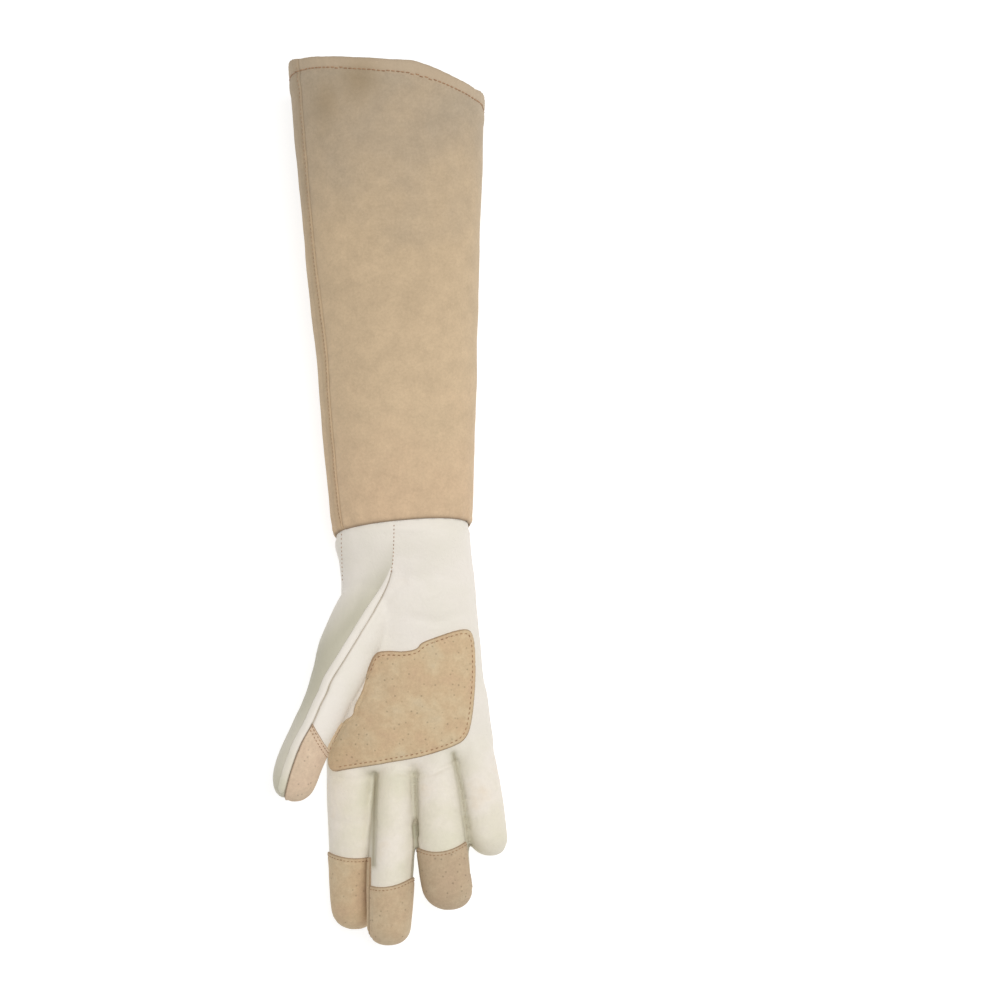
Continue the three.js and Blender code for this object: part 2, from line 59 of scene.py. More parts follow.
CUFF_LENGTH = 263.0
CUFF_WALL = 1.6
MOUTH = dict(wide=57.5, high=43.0, x=-8.8, slant=-9.0, bow=-2.5, rake=2.5)
WRIST = dict(wide=41.0, high=27.0, x=1.5, slant=3.6, bow=0.0, rake=4.0)
TUBE_POWER = 2.25  # 2 would be an ellipse; a little more gives the fuller round of a soft tube
CUFF_PRESSED = 2.5  # how much of its round underside is pressed flat
PRESSED_SOFT = 1.4  # how softly the pressed part turns up, in square millimetres
CUFF_SAG = 1.4
HEM_DEPTH, HEM_STITCH, HEM_ROUND = 12.0, 7.0, 1.7
LAP, LAP_AT_WRIST, LAP_AT_MOUTH = 9.0, -32.53, -60.0
SEAM_PAST = 9.0  # the lapped edge is a straight line from this far past the wrist to this far past the mouth
CUFF_AROUND = 270.0
# How far the rim of the mouth stands past a plain curve, across it from the thumb's side, in millimetres
RIM_ROWS = [
    (-1.2, 5.2), (-1.0, 5.0), (-0.86, 2.2), (-0.6, 0.4), (-0.3, 0.0), (0.05, 1.4), (0.3, 3.8), (0.48, 3.2),
    (0.74, 1.6), (0.92, 1.8), (1.0, 4.4), (1.2, 4.6),
]
# Across the back of the hand a strip of elastic draws the leather in, and it gathers
ELASTIC_PINCH, GATHER_DEPTH, GATHER_PITCH = 2.4, 1.1, 12.5


def placed(points):
    """From the glove's own millimetres, with the wrist seam at 0, to the frame's metres."""
    return (np.asarray(points, float)[:, :3] + SHIFT) / 1000


def piece(name, points, faces, material, slot, **spread):
    """A piece of the glove. Each spread value is kept for every point, for its material to read."""
    mesh = bpy.data.meshes.new(name)
    mesh.from_pydata(placed(points).tolist(), [], [tuple(int(i) for i in face) for face in faces])
    mesh.polygons.foreach_set("use_smooth", [True] * len(mesh.polygons))
    for key, values in spread.items():
        attribute = mesh.attributes.new(name=key, type="FLOAT", domain="POINT")
        attribute.data.foreach_set("value", np.asarray(values, np.float32))
    mesh.materials.append(material)
    mesh.update()
    made = bpy.data.objects.new(name, mesh)
    bpy.context.collection.objects.link(made)
    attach(made, "root")
    return made


def add(tree, kind, inputs=None, **settings):
    """A node with its settings, and each input set to a value or linked to another node's output."""
    made = tree.nodes.new(kind)
    for key, value in settings.items():
        setattr(made, key, value)
    for socket, value in (inputs or {}).items():
        if isinstance(value, bpy.types.NodeSocket):
            tree.links.new(value, made.inputs[socket])
        else:
            made.inputs[socket].default_value = value
    return made


def linear(colour):
    """A colour in sRGB hex, turned to linear light."""
    parts = [int(colour[i : i + 2], 16) / 255 for i in (1, 3, 5)]
    return (*[c / 12.92 if c <= 0.04045 else ((c + 0.055) / 1.055) ** 2.4 for c in parts], 1.0)


def ripple(points, size, seed):
    """Soft noise from -1 to 1 at each point, with swells of about the given size in millimetres."""
    return np.array([noise.noise(Vector((x / size + seed, y / size, z / size))) for x, y, z in points])


def near(distance, width):
    """1 at a line and falling away within the width."""
    return np.exp(-((np.asarray(distance, float) / width) ** 2))


def step(value, start, end):
    """0 before the start, 1 past the end, and a soft rise between them."""
    t = np.clip((np.asarray(value, float) - start) / (end - start), 0, 1)
    return t * t * (3 - 2 * t)


def around(section, angle, grow=0.0):
    """Points at an angle around a section of a leather tube. What lies under its rest level is pressed flat."""
    c, s = np.cos(angle), np.sin(angle)
    x = np.sign(c) * np.abs(c) ** (2 / section["power"])
    z = np.sign(s) * np.abs(s) ** (2 / section["power"])
    across = x * (section["wide"] + grow)
    px = section["x"] + across * section.get("side_x", 1.0)
    py = section["y"] + across * section.get("side_y", 0.0)
    py = py + section.get("slant", 0.0) * x + section.get("bow", 0.0) * x * x + section.get("rake", 0.0) * z
    pz = section["z"] + z * (section["high"] + grow)
    rest = section["rest"] - grow
    if "gather" in section:
        lift = ELASTIC_PINCH + GATHER_DEPTH * np.cos(2 * np.pi * px / GATHER_PITCH)
        rest = rest + section["gather"] * lift * (s < 0)
    over = pz - rest
    return np.stack([px, py, rest + 0.5 * (over + np.sqrt(over**2 + PRESSED_SOFT))], -1)


def cuff_section(share):
    """The cuff's section at a share of its length, from the wrist to the mouth."""
    section = {key: WRIST[key] + (MOUTH[key] - WRIST[key]) * share for key in WRIST}
    section["bow"] = MOUTH["bow"] * share
    return dict(section, power=TUBE_POWER, y=CUFF_LENGTH * share, z=section["high"] - CUFF_PRESSED, rest=0.0)


def seam_angle(share):
    """Where the lapped edge runs, on the upper side towards the thumb."""
    section = cuff_section(share)
    y = CUFF_LENGTH * share
    x = LAP_AT_WRIST + (LAP_AT_MOUTH - LAP_AT_WRIST) * (y + SEAM_PAST) / (CUFF_LENGTH + 2 * SEAM_PAST)
    return np.pi - np.arccos(np.clip(((section["x"] - x) / section["wide"]), 0, 1) ** (TUBE_POWER / 2))


# Up the outside, round the hem, and down the inside: the place along the cuff, and how far in from its outside
rows = [(a, 0.0) for a in (0.0, 0.5, 1.0, 1.6, 2.4, 3.4)]
rows += [(a, 0.0) for a in np.arange(5.0, CUFF_LENGTH - 15, 1.6)]
rows += [(a, 0.0) for a in np.arange(CUFF_LENGTH - 14.4, CUFF_LENGTH - 1.8, 0.7)]
rows += [
    (CUFF_LENGTH - HEM_ROUND + HEM_ROUND * math.sin(a), HEM_ROUND - HEM_ROUND * math.cos(a))
    for a in np.linspace(0.3, 2.84, 7)
]
rows += [(CUFF_LENGTH - a, 2 * HEM_ROUND) for a in (3.0, 4.4, 5.0, 5.6, 7.5, 9.5, 10.8)]
rows += [(CUFF_LENGTH - 11.4, 2.6), (CUFF_LENGTH - 11.8, HEM_ROUND)]
rows += [(a, CUFF_WALL) for a in np.linspace(CUFF_LENGTH - 14, 0, 40)]
along = np.array([row[0] for row in rows])[:, None]
inset = np.array([row[1] for row in rows])[:, None]
lap = 2 * np.pi * LAP / CUFF_AROUND
turn = 2 * np.pi / CUFF_AROUND
columns = np.concatenate([
    np.arange(0, 14, 0.6), np.arange(14, CUFF_AROUND + LAP - 14, 1.35),
    np.arange(CUFF_AROUND + LAP - 14, CUFF_AROUND + LAP, 0.5), [CUFF_AROUND + LAP],
])[None, :] * turn
share = along / CUFF_LENGTH
start = seam_angle(share)
angle = start + lap - columns
left = (columns.max() - columns) / turn  # to the upper layer's edge, in millimetres around
gone = columns / turn  # from the lower layer's edge
lapped = 0.4 * (1 - step(left, LAP + 1, LAP + 15))  # the upper layer lifts, and the lower one sinks under it
lapped = lapped - 0.9 * (1 - step(gone, LAP - 1.5, LAP + 1.6))
edge_roll = -0.9 * (1 - np.clip(left / 1.1, 0, 1)) ** 2 - 0.4 * near(left - 2.6, 0.7)
down = CUFF_LENGTH - along
hem = 0.55 * (1 - step(down, HEM_DEPTH - 1.5, HEM_DEPTH + 2.5)) - 0.6 * near(down - HEM_STITCH, 0.9)
wrist_tuck = -1.0 * near(along, 1.1) + 0.35 * near(along - 3.0, 1.6)
sag = CUFF_SAG * np.sin(np.pi * share) * np.sin(3 * angle + 9 * share) * np.maximum(0, np.sin(angle))
flat = around(cuff_section(share), angle)
spots = flat.reshape(-1, 3)
wave = 0.75 * ripple(spots, 42, 3.1) + 0.3 * ripple(spots, 15, 8.7) + 0.1 * ripple(spots, 6, 5.2)
wave = wave.reshape(angle.shape)
pucker = 0.35 * np.cos(angle * 23 + 3 * ripple(spots, 30, 1.2).reshape(angle.shape)) * near(along, 9)
pucker += 0.16 * np.cos(angle * 61 + 5 * ripple(spots, 30, 4.2).reshape(angle.shape)) * near(down, 8)
outer = (inset < 1.0).astype(float)
grow = sag + wave + pucker + lapped - inset + outer * (hem + wrist_tuck + edge_roll) - 0.9 * near(along, 7)
cuff_points = around(cuff_section(share), angle, grow)
section = cuff_section(share)
across = (cuff_points[..., 0] - section["x"]) / section["wide"]
cuff_points[..., 1] += np.interp(across, *np.array(RIM_ROWS).T) * step(down, 14, 0)
table_clear = 0.03 + 0.8 * np.minimum(inset, HEM_ROUND)  # its outside lies on the table
cuff_points[..., 2] = np.maximum(cuff_points[..., 2], table_clear)
n_along, n_round = angle.shape
index = np.arange(n_along * n_round).reshape(n_along, n_round)
following = np.roll(index, -1, 0)
cuff_faces = np.stack([index[:, :-1], index[:, 1:], following[:, 1:], following[:, :-1]], -1).reshape(-1, 4)


def started(name):
    """A new material, its empty node tree, and the places on the glove in millimetres for its patterns."""
    material = bpy.data.materials.new(name)
    material.use_nodes = True
    tree = material.node_tree
    tree.nodes.clear()
    place = add(tree, "ShaderNodeTexCoord")
    mm = add(tree, "ShaderNodeMapping", {"Vector": place.outputs["Object"], "Scale": (1000, 1000, 1000)})
    return material, tree, mm.outputs["Vector"]


# Split cowhide suede, buffed and undyed: the split side of the hide shows no grain, only short matt nap that
# lies in soft lighter and darker patches about 9 mm wide, with flecks of 1.5 mm where the fibre is dense.
# The fibres of the nap, a tenth of a millimetre, are drawn 0.7 mm wide to show at all. The mesh tells the material
# where it has soil, the hem's tone, a darker edge at the wrist, and painted shade on the lapped strip and along the
# mouth's rim.
suede, tree, mm = started("split cowhide suede")
parts = add(tree, "ShaderNodeSeparateXYZ", {"Vector": mm})
cloud = add(tree, "ShaderNodeTexNoise", {"Vector": mm, "Scale": 1 / 34, "Detail": 3.0, "Roughness": 0.6})
reach = add(tree, "ShaderNodeMapRange", {"Value": parts.outputs["Y"], "From Min": -20.0, "From Max": 250.0})
drift = add(tree, "ShaderNodeMath", {0: cloud.outputs["Fac"], 1: 0.45, 2: -0.22}, operation="MULTIPLY_ADD")
reach = add(tree, "ShaderNodeMath", {0: reach.outputs["Result"], 1: drift.outputs[0]}, operation="ADD")
hide = add(tree, "ShaderNodeValToRGB", {"Fac": reach.outputs[0]})
stops = hide.color_ramp.elements
stops[0].position, stops[0].color = 0.0, linear("#d2b696")
stops[1].position, stops[1].color = 1.0, linear("#b1a18b")
for spot, colour in ((0.3, "#cdb595"), (0.62, "#c6af90"), (0.9, "#b3a189")):
    stops.new(spot).color = linear(colour)
patch = add(tree, "ShaderNodeTexNoise", {"Vector": mm, "Scale": 1 / 9, "Detail": 5.0, "Roughness": 0.6})
patch = add(tree, "ShaderNodeMapRange", {
    "Value": patch.outputs["Fac"], "From Min": 0.32, "From Max": 0.68, "To Min": 0.93, "To Max": 1.055,
})
fleck = add(tree, "ShaderNodeTexNoise", {"Vector": mm, "Scale": 1 / 1.5, "Detail": 3.0, "Roughness": 0.7})
fleck = add(tree, "ShaderNodeMapRange", {
    "Value": fleck.outputs["Fac"], "From Min": 0.3, "From Max": 0.7, "To Min": 0.92, "To Max": 1.06,
})
shade = add(tree, "ShaderNodeMath", {0: patch.outputs["Result"], 1: fleck.outputs["Result"]}, operation="MULTIPLY")
shade = add(tree, "ShaderNodeCombineColor", {
    "Red": shade.outputs[0], "Green": shade.outputs[0], "Blue": shade.outputs[0],
})
tone = add(tree, "ShaderNodeMix", {
    0: 1.0, 6: hide.outputs["Color"], 7: shade.outputs["Color"],
}, data_type="RGBA", blend_type="MULTIPLY")
# the hem's band is a little greyer and lighter in tone; the lapped strip takes a touch of the same tone as part of its
# painted shade
hem_and_strip_shade_mix = add(tree, "ShaderNodeAttribute", attribute_name="turned")
hem_and_strip_shade_mix = add(tree, "ShaderNodeMath", {0: hem_and_strip_shade_mix.outputs["Fac"], 1: 0.5}, operation="MULTIPLY")
tone = add(tree, "ShaderNodeMix", {
    0: hem_and_strip_shade_mix.outputs[0], 6: tone.outputs[2], 7: linear("#c4af95"),
}, data_type="RGBA")
# soil near the mouth, and painted shade: the lapped strip on the cuff's left flank darkened towards brown
soil_and_shade_mix = add(tree, "ShaderNodeAttribute", attribute_name="dirt")
soil_and_shade_mix = add(tree, "ShaderNodeMath", {0: soil_and_shade_mix.outputs["Fac"], 1: patch.outputs["Result"]}, operation="MULTIPLY")
soil_and_shade_mix = add(tree, "ShaderNodeMath", {0: soil_and_shade_mix.outputs[0], 1: 0.42}, operation="MULTIPLY")
tone = add(tree, "ShaderNodeMix", {0: soil_and_shade_mix.outputs[0], 6: tone.outputs[2], 7: linear("#8f7752")}, data_type="RGBA")
# painted shade along the mouth's rim, where the far side of the turned hem lies in shadow, and a darker edge line at
# the wrist
edge_line_and_rim_shade = add(tree, "ShaderNodeAttribute", attribute_name="edge")
tone = add(tree, "ShaderNodeMix", {
    0: edge_line_and_rim_shade.outputs["Fac"], 6: tone.outputs[2], 7: linear("#85705d"),
}, data_type="RGBA")
nap = add(tree, "ShaderNodeTexNoise", {"Vector": mm, "Scale": 1 / 0.7, "Detail": 4.0, "Roughness": 0.7})
swell = add(tree, "ShaderNodeTexNoise", {"Vector": mm, "Scale": 1 / 3.5, "Detail": 3.0, "Roughness": 0.6})
fine = add(tree, "ShaderNodeBump", {"Height": nap.outputs["Fac"], "Strength": 0.45, "Distance": 0.0004})
relief = add(tree, "ShaderNodeBump", {
    "Height": swell.outputs["Fac"], "Strength": 0.4, "Distance": 0.0008, "Normal": fine.outputs["Normal"],
})
shader = add(tree, "ShaderNodeBsdfPrincipled", {
    "Base Color": tone.outputs[2], "Normal": relief.outputs["Normal"], "Roughness": 0.93,
    "Specular IOR Level": 0.2, "Sheen Weight": 0.25, "Sheen Roughness": 0.6, "Sheen Tint": linear("#efe3cf"),
})
add(tree, "ShaderNodeOutputMaterial", {"Surface": shader.outputs["BSDF"]})

turned = (1 - step(down, HEM_STITCH - 0.6, HEM_STITCH + 1.2)) * outer + 0 * angle
strip = 1 - step(left, LAP - 2, LAP)
dirt = near(np.hypot(cuff_points[..., 0] + 22, cuff_points[..., 1] - 255), 12)
streak = near(np.hypot(cuff_points[..., 0] + 42, (cuff_points[..., 1] - 243) * 0.6), 8)
dirt = np.maximum(dirt, 0.8 * streak) * (np.sin(angle) > 0)
# painted shade: the lapped strip beside the seam darkened, as the cuff's left flank lies in shade
dirt = np.maximum(dirt, 0.4 * strip)
cuff = piece(
    "cuff_panel", cuff_points.reshape(-1, 3), cuff_faces, suede, "cuff_suede",
    # the hem's tone, with a little on the lapped strip as painted shade; soil near the mouth, with painted shade on
    # the strip
    turned=np.maximum(turned, 0.15 * strip + 0 * along).ravel(), dirt=dirt.ravel(),
    # darkened edges: painted shade along the mouth's rim, and a darker line along the wrist's edge
    edge=(np.maximum(0.55 * near(down, 0.9), 0.85 * near(along, 0.9)) + 0 * angle).ravel(),
)
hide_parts("cuff")


def triangulated(faces):
    """Faces of three or four corners, as triangles."""
    faces = np.asarray(faces)
    return faces if faces.shape[1] == 3 else np.concatenate([faces[:, [0, 1, 2]], faces[:, [0, 2, 3]]])


def surface(points, triangles):
    """The surface, ready for finding the nearest place on it."""
    corners = [tuple(p) for p in np.asarray(points, float)[:, :3]]
    return BVHTree.FromPolygons(corners, [tuple(int(i) for i in t) for t in triangles])


def resampled(line, pitch):
    """The same line with its points evenly spaced."""
    line = np.asarray(line, float)
    run = np.concatenate([[0], np.cumsum(np.linalg.norm(np.diff(line, axis=0), axis=1))])
    marks = np.linspace(0, run[-1], max(2, int(round(run[-1] / pitch)) + 1))
    return np.stack([np.interp(marks, run, line[:, i]) for i in range(3)], -1)


def settled(tree_of, line):
    """Each point moved to the nearest place on the surface, with the way out of it."""
    found = [tree_of.find_nearest(Vector(p)) for p in line]
    return np.array([f[0] for f in found]), np.array([f[1] for f in found])


# Along one stitch: place as a share of its length, size as a share of the thread's, and rise in millimetres
STITCH_RINGS = ((-0.5, 0.5, -0.3), (-0.3, 1.0, 0.06), (0.0, 1.05, 0.14), (0.3, 1.0, 0.06), (0.5, 0.5, -0.3))


def stitches(tree_of, line, pitch, length, radius, proud=0.12):
    """A row of stitches: short lengths of thread whose ends dip into the leather."""
    line = resampled(line, pitch)
    middles = (line[:-1] + line[1:]) / 2
    ways = line[1:] - line[:-1]
    spots, outs = settled(tree_of, middles)
    points, faces = [], []
    for spot, out, way in zip(spots, outs, ways):
        way = way - out * np.dot(way, out)
        way /= max(np.linalg.norm(way), 1e-9)
        side = np.cross(out, way)
        base = len(points)
        for place, size, rise in STITCH_RINGS:
            for k in range(6):
                a = k * math.pi / 3
                raised = out * (proud + rise + radius * size * math.sin(a))
                points.append(spot + way * place * length + raised + side * radius * size * math.cos(a))
        for r in range(4):
            for k in range(6):
                a, b = base + r * 6 + k, base + r * 6 + (k + 1) % 6
                faces.append((a, b, b + 6, a + 6))
        faces.append(tuple(base + k for k in range(5, -1, -1)))
        faces.append(tuple(base + 24 + k for k in range(6)))
    return np.array(points), faces


def together(parts):
    """Several lots of points and faces as one."""
    points, faces = [], []
    for some, theirs in parts:
        base = sum(len(p) for p in points)
        points.append(np.asarray(some))
        faces += [tuple(int(i) + base for i in face) for face in theirs]
    return np.concatenate(points), faces


# Bonded polyester thread, tan: a tight three-ply twist with a low shine, drawn as one smooth strand because
# its plies are finer than the picture shows. Its colour changes a little every 4 mm, where it was rubbed.
thread, tree, mm = started("bonded polyester thread")
wear = add(tree, "ShaderNodeTexNoise", {"Vector": mm, "Scale": 1 / 4, "Detail": 2.0})
tint = add(tree, "ShaderNodeValToRGB", {"Fac": wear.outputs["Fac"]})
tint.color_ramp.elements[0].color = linear("#936d50")
tint.color_ramp.elements[0].position = 0.35
tint.color_ramp.elements[1].color = linear("#b28c6c")
tint.color_ramp.elements[1].position = 0.65
shader = add(tree, "ShaderNodeBsdfPrincipled", {
    "Base Color": tint.outputs["Color"], "Roughness": 0.55, "Specular IOR Level": 0.4,
})
add(tree, "ShaderNodeOutputMaterial", {"Surface": shader.outputs["BSDF"]})

cuff_tree = surface(cuff_points.reshape(-1, 3), triangulated(cuff_faces))


def on_cuff(shares, angles):
    """Places just outside the cuff, for a row of stitches to settle from."""
    return around(cuff_section(shares), angles, 1.5)


rim_share = np.full(200, 1 - HEM_STITCH / CUFF_LENGTH)
rim_line = on_cuff(rim_share, seam_angle(rim_share) - np.linspace(0, 2 * np.pi, 200))
lap_share = np.linspace(0.012, 1 - 2.5 / CUFF_LENGTH, 120)
lap_line = on_cuff(lap_share, seam_angle(lap_share) + 1.2 * turn)
rim_across = (rim_line[:, 0] - MOUTH["x"]) / MOUTH["wide"]
rim_line[:, 1] += np.interp(rim_across, *np.array(RIM_ROWS).T) * step(HEM_STITCH, 14, 0)
piece("cuff_stitching", *together([
    stitches(cuff_tree, rim_line, 2.8, 2.35, 0.3), stitches(cuff_tree, lap_line, 2.4, 1.9, 0.12, 0.0),
]), thread, "cuff_suede")

# The skin of the hand, from which its panels are cut: the palm's tube, four fingers and the thumb as one
# smooth form, drawn in across the back by a strip of elastic.

HAND_VOXEL = 0.95
SUEDE_LAYER = 1.2


def eased(at, places, values):
    """A smooth curve through the rows that never swings past them."""
    places, values = np.asarray(places, float), np.asarray(values, float)
    gap = np.diff(places)
    rise = np.diff(values) / gap
    slope = np.zeros(len(values))
    slope[0], slope[-1] = rise[0], rise[-1]
    for i in range(1, len(values) - 1):
        if rise[i - 1] * rise[i] > 0:
            a, b = 2 * gap[i] + gap[i - 1], gap[i] + 2 * gap[i - 1]
            slope[i] = (a + b) / (a / rise[i - 1] + b / rise[i])
    i = np.clip(np.searchsorted(places, at, side="right") - 1, 0, len(gap) - 1)
    t = np.clip((at - places[i]) / gap[i], 0, 1)
    return (
        values[i] * (1 + 2 * t) * (1 - t) ** 2 + slope[i] * gap[i] * t * (1 - t) ** 2
        + values[i + 1] * t * t * (3 - 2 * t) + slope[i + 1] * gap[i] * t * t * (t - 1)
    )


def tube(section, count):
    """A closed tube through many sections, as points and faces."""
    angles = np.arange(count) / count * 2 * np.pi
    section = {key: np.asarray(value, float)[:, None] if np.ndim(value) else value for key, value in section.items()}
    grid = around(section, angles[None, :])
    rings, points = len(grid), grid.reshape(-1, 3)
    points = np.concatenate([points, [grid[0].mean(0), grid[-1].mean(0)]])
    faces = []
    for r in range(rings - 1):
        for k in range(count):
            a, b = r * count + k, r * count + (k + 1) % count
            faces.append((a, b, b + count, a + count))
    for k in range(count):
        faces.append((rings * count, (k + 1) % count, k))
        faces.append((rings * count + 1, (rings - 1) * count + k, (rings - 1) * count + (k + 1) % count))
    return points, faces


# Down the palm: drop as a share of its length, both edges as shares of its width, and its height
PALM_ROWS = np.array([
    (0.06, 0.39, 0.421, 1.36), (0.14, 0.365, 0.432, 1.26), (0.21, 0.354, 0.442, 1.2), (0.29, 0.354, 0.45, 1.17),
    (0.38, 0.366, 0.462, 1.12), (0.5, 0.386, 0.48, 1.05), (0.62, 0.4, 0.492, 1), (0.75, 0.412, 0.522, 0.95),
    (0.88, 0.425, 0.541, 0.87), (0.965, 0.43, 0.558, 0.79), (1.005, 0.42, 0.555, 0.66), (1.02, 0.4, 0.54, 0.44),
])
PALM_HEIGHT, PALM_POWER = 36.0, 2.4
ELASTIC = -30.0  # where the elastic crosses the back
drop, thumb_edge, little_edge, height = PALM_ROWS.T
palm_rows = {  # the first two sections lie inside the cuff and at its edge
    "y": np.concatenate([[12.0, -1.5], -drop * PALM_LENGTH]),
    "x": np.concatenate([[1.5, 1.5], (little_edge - thumb_edge) / 2 * PALM_WIDTH]),
    "z": np.concatenate([[24.5, 24.5], np.maximum(PALM_HEIGHT * height / 2 - 1.5, 15)]),
    "wide": np.concatenate([[38.6, 38.9], (little_edge + thumb_edge) / 2 * PALM_WIDTH]),
    "high": np.concatenate([[24.6, 24.9], PALM_HEIGHT * height / 2]),
    "rest": np.concatenate([[2.2, 2.0], 0 * drop]),
    "power": np.concatenate([[TUBE_POWER, TUBE_POWER], 0 * drop + PALM_POWER]),
    "slant": np.concatenate([[3.6, 3.6], 7.0 * np.maximum(0, 2 * drop - 1)]),
    "rake": np.concatenate([[4.0, 4.0], 0 * drop]),
}
downs = np.concatenate([np.arange(-12, 138, 1.5), [138.2, 138.7]])
palm = {key: eased(downs, -palm_rows["y"], values) for key, values in palm_rows.items()}
palm["gather"] = near(downs + ELASTIC, 9)

LONGEST, FINGER_THICK, REST, FINGER_POWER = 101.5, 24.5, 1.5, 2.15
PALM_SIDES, THUMB_SIDES, FINGER_SIDES = 160, 64, 56
FINGERS = {  # x, lean, width, taper, thick, long, root, rise
    "index": (-0.294, 2.0, 0.284, 0.07, 1, 0.926, 0.6, -0.05),
    "middle": (-0.027, -1.4, 0.244, -0.03, 1, 1, 0.67, 0.6),
    "ring": (0.214, 5.6, 0.288, 0, 1.02, 0.808, 0.69, 0.49),
    "little": (0.451, 9.0, 0.248, 0.03, 0.9, 0.522, 0.67, 0.24),
}
# Down a finger: place, size, and how far its taper has come; then its round end, back from the tip
FINGER_ROWS = [(-0.28, 0.92, 0), (-0.05, 1, 0), (0.2, 1.03, 0.2), (0.45, 1.05, 0.7), (0.68, 1.02, 1), (0.84, 0.97, 1)]
END_ROWS = [(0.62, 0.92), (0.3, 0.75), (0.1, 0.5), (0, 0.22)]


def finger_middle(name, out):
    """The middle line of a finger, out millimetres from its web."""
    x, lean, _, _, _, long, root, rise = FINGERS[name]
    place = np.asarray(out, float) / (long * LONGEST)
    curl = np.where(place > 0, 1 - (1 - np.minimum(place, 1)) ** 2, 0)
    lean = math.radians(lean)
    return np.stack([
        x * PALM_WIDTH + out * math.sin(lean), -PALM_LENGTH - out * math.cos(lean),
        root * FINGER_THICK + rise * FINGER_THICK * curl,
    ], -1)


def finger_tube(name):
    """A finger from inside the palm to its tip, as points and faces."""
    _, _, width, taper, thick, long, _, _ = FINGERS[name]
    length, half = long * LONGEST, width * PALM_WIDTH / 2
    rows = FINGER_ROWS + [(1 - back * half / length, size, 1) for back, size in END_ROWS]
    places = np.concatenate([np.arange(-0.28, 0.97, 0.012), np.linspace(0.972, 1, 12)])
    size = eased(places, [r[0] for r in rows], [r[1] for r in rows])
    gone = eased(places, [r[0] for r in rows], [r[2] for r in rows])
    line = finger_middle(name, places * length)
    return tube({
        "x": line[:, 0], "y": line[:, 1], "z": line[:, 2], "wide": half * size * (1 - taper * gone),
        "high": thick * FINGER_THICK / 2 * size, "power": FINGER_POWER, "rest": REST,
    }, FINGER_SIDES)


# Up the thumb: its middle as shares of the way from the wrist to its tip, and its size across and in height
THUMB_TIP = np.array([-62.5, -155.0, 45.0])
THUMB_WIDE, THUMB_HIGH, THUMB_POWER = 14.5, 13.5, 2.1
THUMB_ROWS = np.array([
    (0.16, 0.2, 0.5, 1.2, 1.15), (0.32, 0.32, 0.6, 1.26, 1.22), (0.465, 0.44, 0.7, 1.2, 1.16),
    (0.565, 0.55, 0.8, 1.02, 1.08), (0.678, 0.66, 0.88, 0.9, 1.02), (0.8, 0.77, 0.95, 0.86, 1),
    (0.905, 0.87, 0.99, 0.88, 0.96), (0.958, 0.94, 1, 0.82, 0.86), (0.985, 0.975, 1, 0.66, 0.7),
    (0.997, 0.994, 1, 0.42, 0.44), (1, 1, 1, 0.2, 0.2),
])
steps = np.concatenate([np.arange(0, 8, 0.08), np.linspace(8, 10, 16)])
thumb_rows = np.stack([eased(steps, np.arange(len(THUMB_ROWS)), column) for column in THUMB_ROWS.T], -1)
middle = thumb_rows[:, :3] * THUMB_TIP
ahead = np.gradient(middle, axis=0)
side = np.stack([-ahead[:, 1], ahead[:, 0]], -1)
side /= np.linalg.norm(side, axis=1)[:, None]
thumb = {
    "x": middle[:, 0], "y": middle[:, 1], "z": middle[:, 2], "side_x": side[:, 0], "side_y": side[:, 1],
    "wide": THUMB_WIDE * thumb_rows[:, 3], "high": THUMB_HIGH * thumb_rows[:, 4], "power": THUMB_POWER, "rest": 0.0,
}

body_points, body_faces = together(
    [tube(palm, PALM_SIDES), tube(thumb, THUMB_SIDES)] + [finger_tube(name) for name in FINGERS]
)
mesh = bpy.data.meshes.new("form")
mesh.from_pydata(body_points.tolist(), [], body_faces)
form = bpy.data.objects.new("form", mesh)
bpy.context.collection.objects.link(form)
remesh = form.modifiers.new("one skin", "REMESH")
remesh.mode = "VOXEL"
remesh.voxel_size = HAND_VOXEL
whole = form.evaluated_get(bpy.context.evaluated_depsgraph_get()).to_mesh()
whole.calc_loop_triangles()
skin = np.empty(len(whole.vertices) * 3)
whole.vertices.foreach_get("co", skin)
skin = skin.reshape(-1, 3)
triangles = np.empty(len(whole.loop_triangles) * 3, np.int32)
whole.loop_triangles.foreach_get("vertices", triangles)
triangles = triangles.reshape(-1, 3).astype(np.int64)
form.evaluated_get(bpy.context.evaluated_depsgraph_get()).to_mesh_clear()
bpy.data.objects.remove(form)
bpy.data.meshes.remove(mesh)


def sides_of(triangles):
    """The three sides of every triangle, each in the triangle's own direction."""
    return np.concatenate([triangles[:, [0, 1]], triangles[:, [1, 2]], triangles[:, [2, 0]]])


def smoothed(points, triangles, rounds, pulls):
    """The points drawn towards their neighbours. A second pull, back out, keeps the form and takes the steps."""
    a, b = np.unique(np.sort(sides_of(triangles), 1), axis=0).T
    count = np.bincount(a, minlength=len(points)) + np.bincount(b, minlength=len(points))
    for i in range(rounds):
        for pull in pulls:
            mean = np.stack([
                np.bincount(a, points[b, k], len(points)) + np.bincount(b, points[a, k], len(points)) for k in range(3)
            ], -1) / np.maximum(count, 1)[:, None]
            points = points + pull * (mean - points)
    return points


def outward(points, triangles):
    """The way out of the surface at each point."""
    first, second, third = (points[triangles[:, c]] for c in range(3))
    face = np.cross(second - first, third - first)
    total = np.stack([
        sum(np.bincount(triangles[:, c], face[:, k], len(points)) for c in range(3)) for k in range(3)
    ], -1)
    return total / np.maximum(np.linalg.norm(total, axis=1), 1e-12)[:, None]


skin = smoothed(skin, triangles, 4, (0.55,))
skin = smoothed(skin, triangles, 24, (0.55, -0.56))
normals = outward(skin, triangles)


def behind(points, name):
    """How far each point lies out from a finger's web, and the finger's middle line there."""
    out = -PALM_LENGTH - points[:, 1]
    return out, finger_middle(name, out)


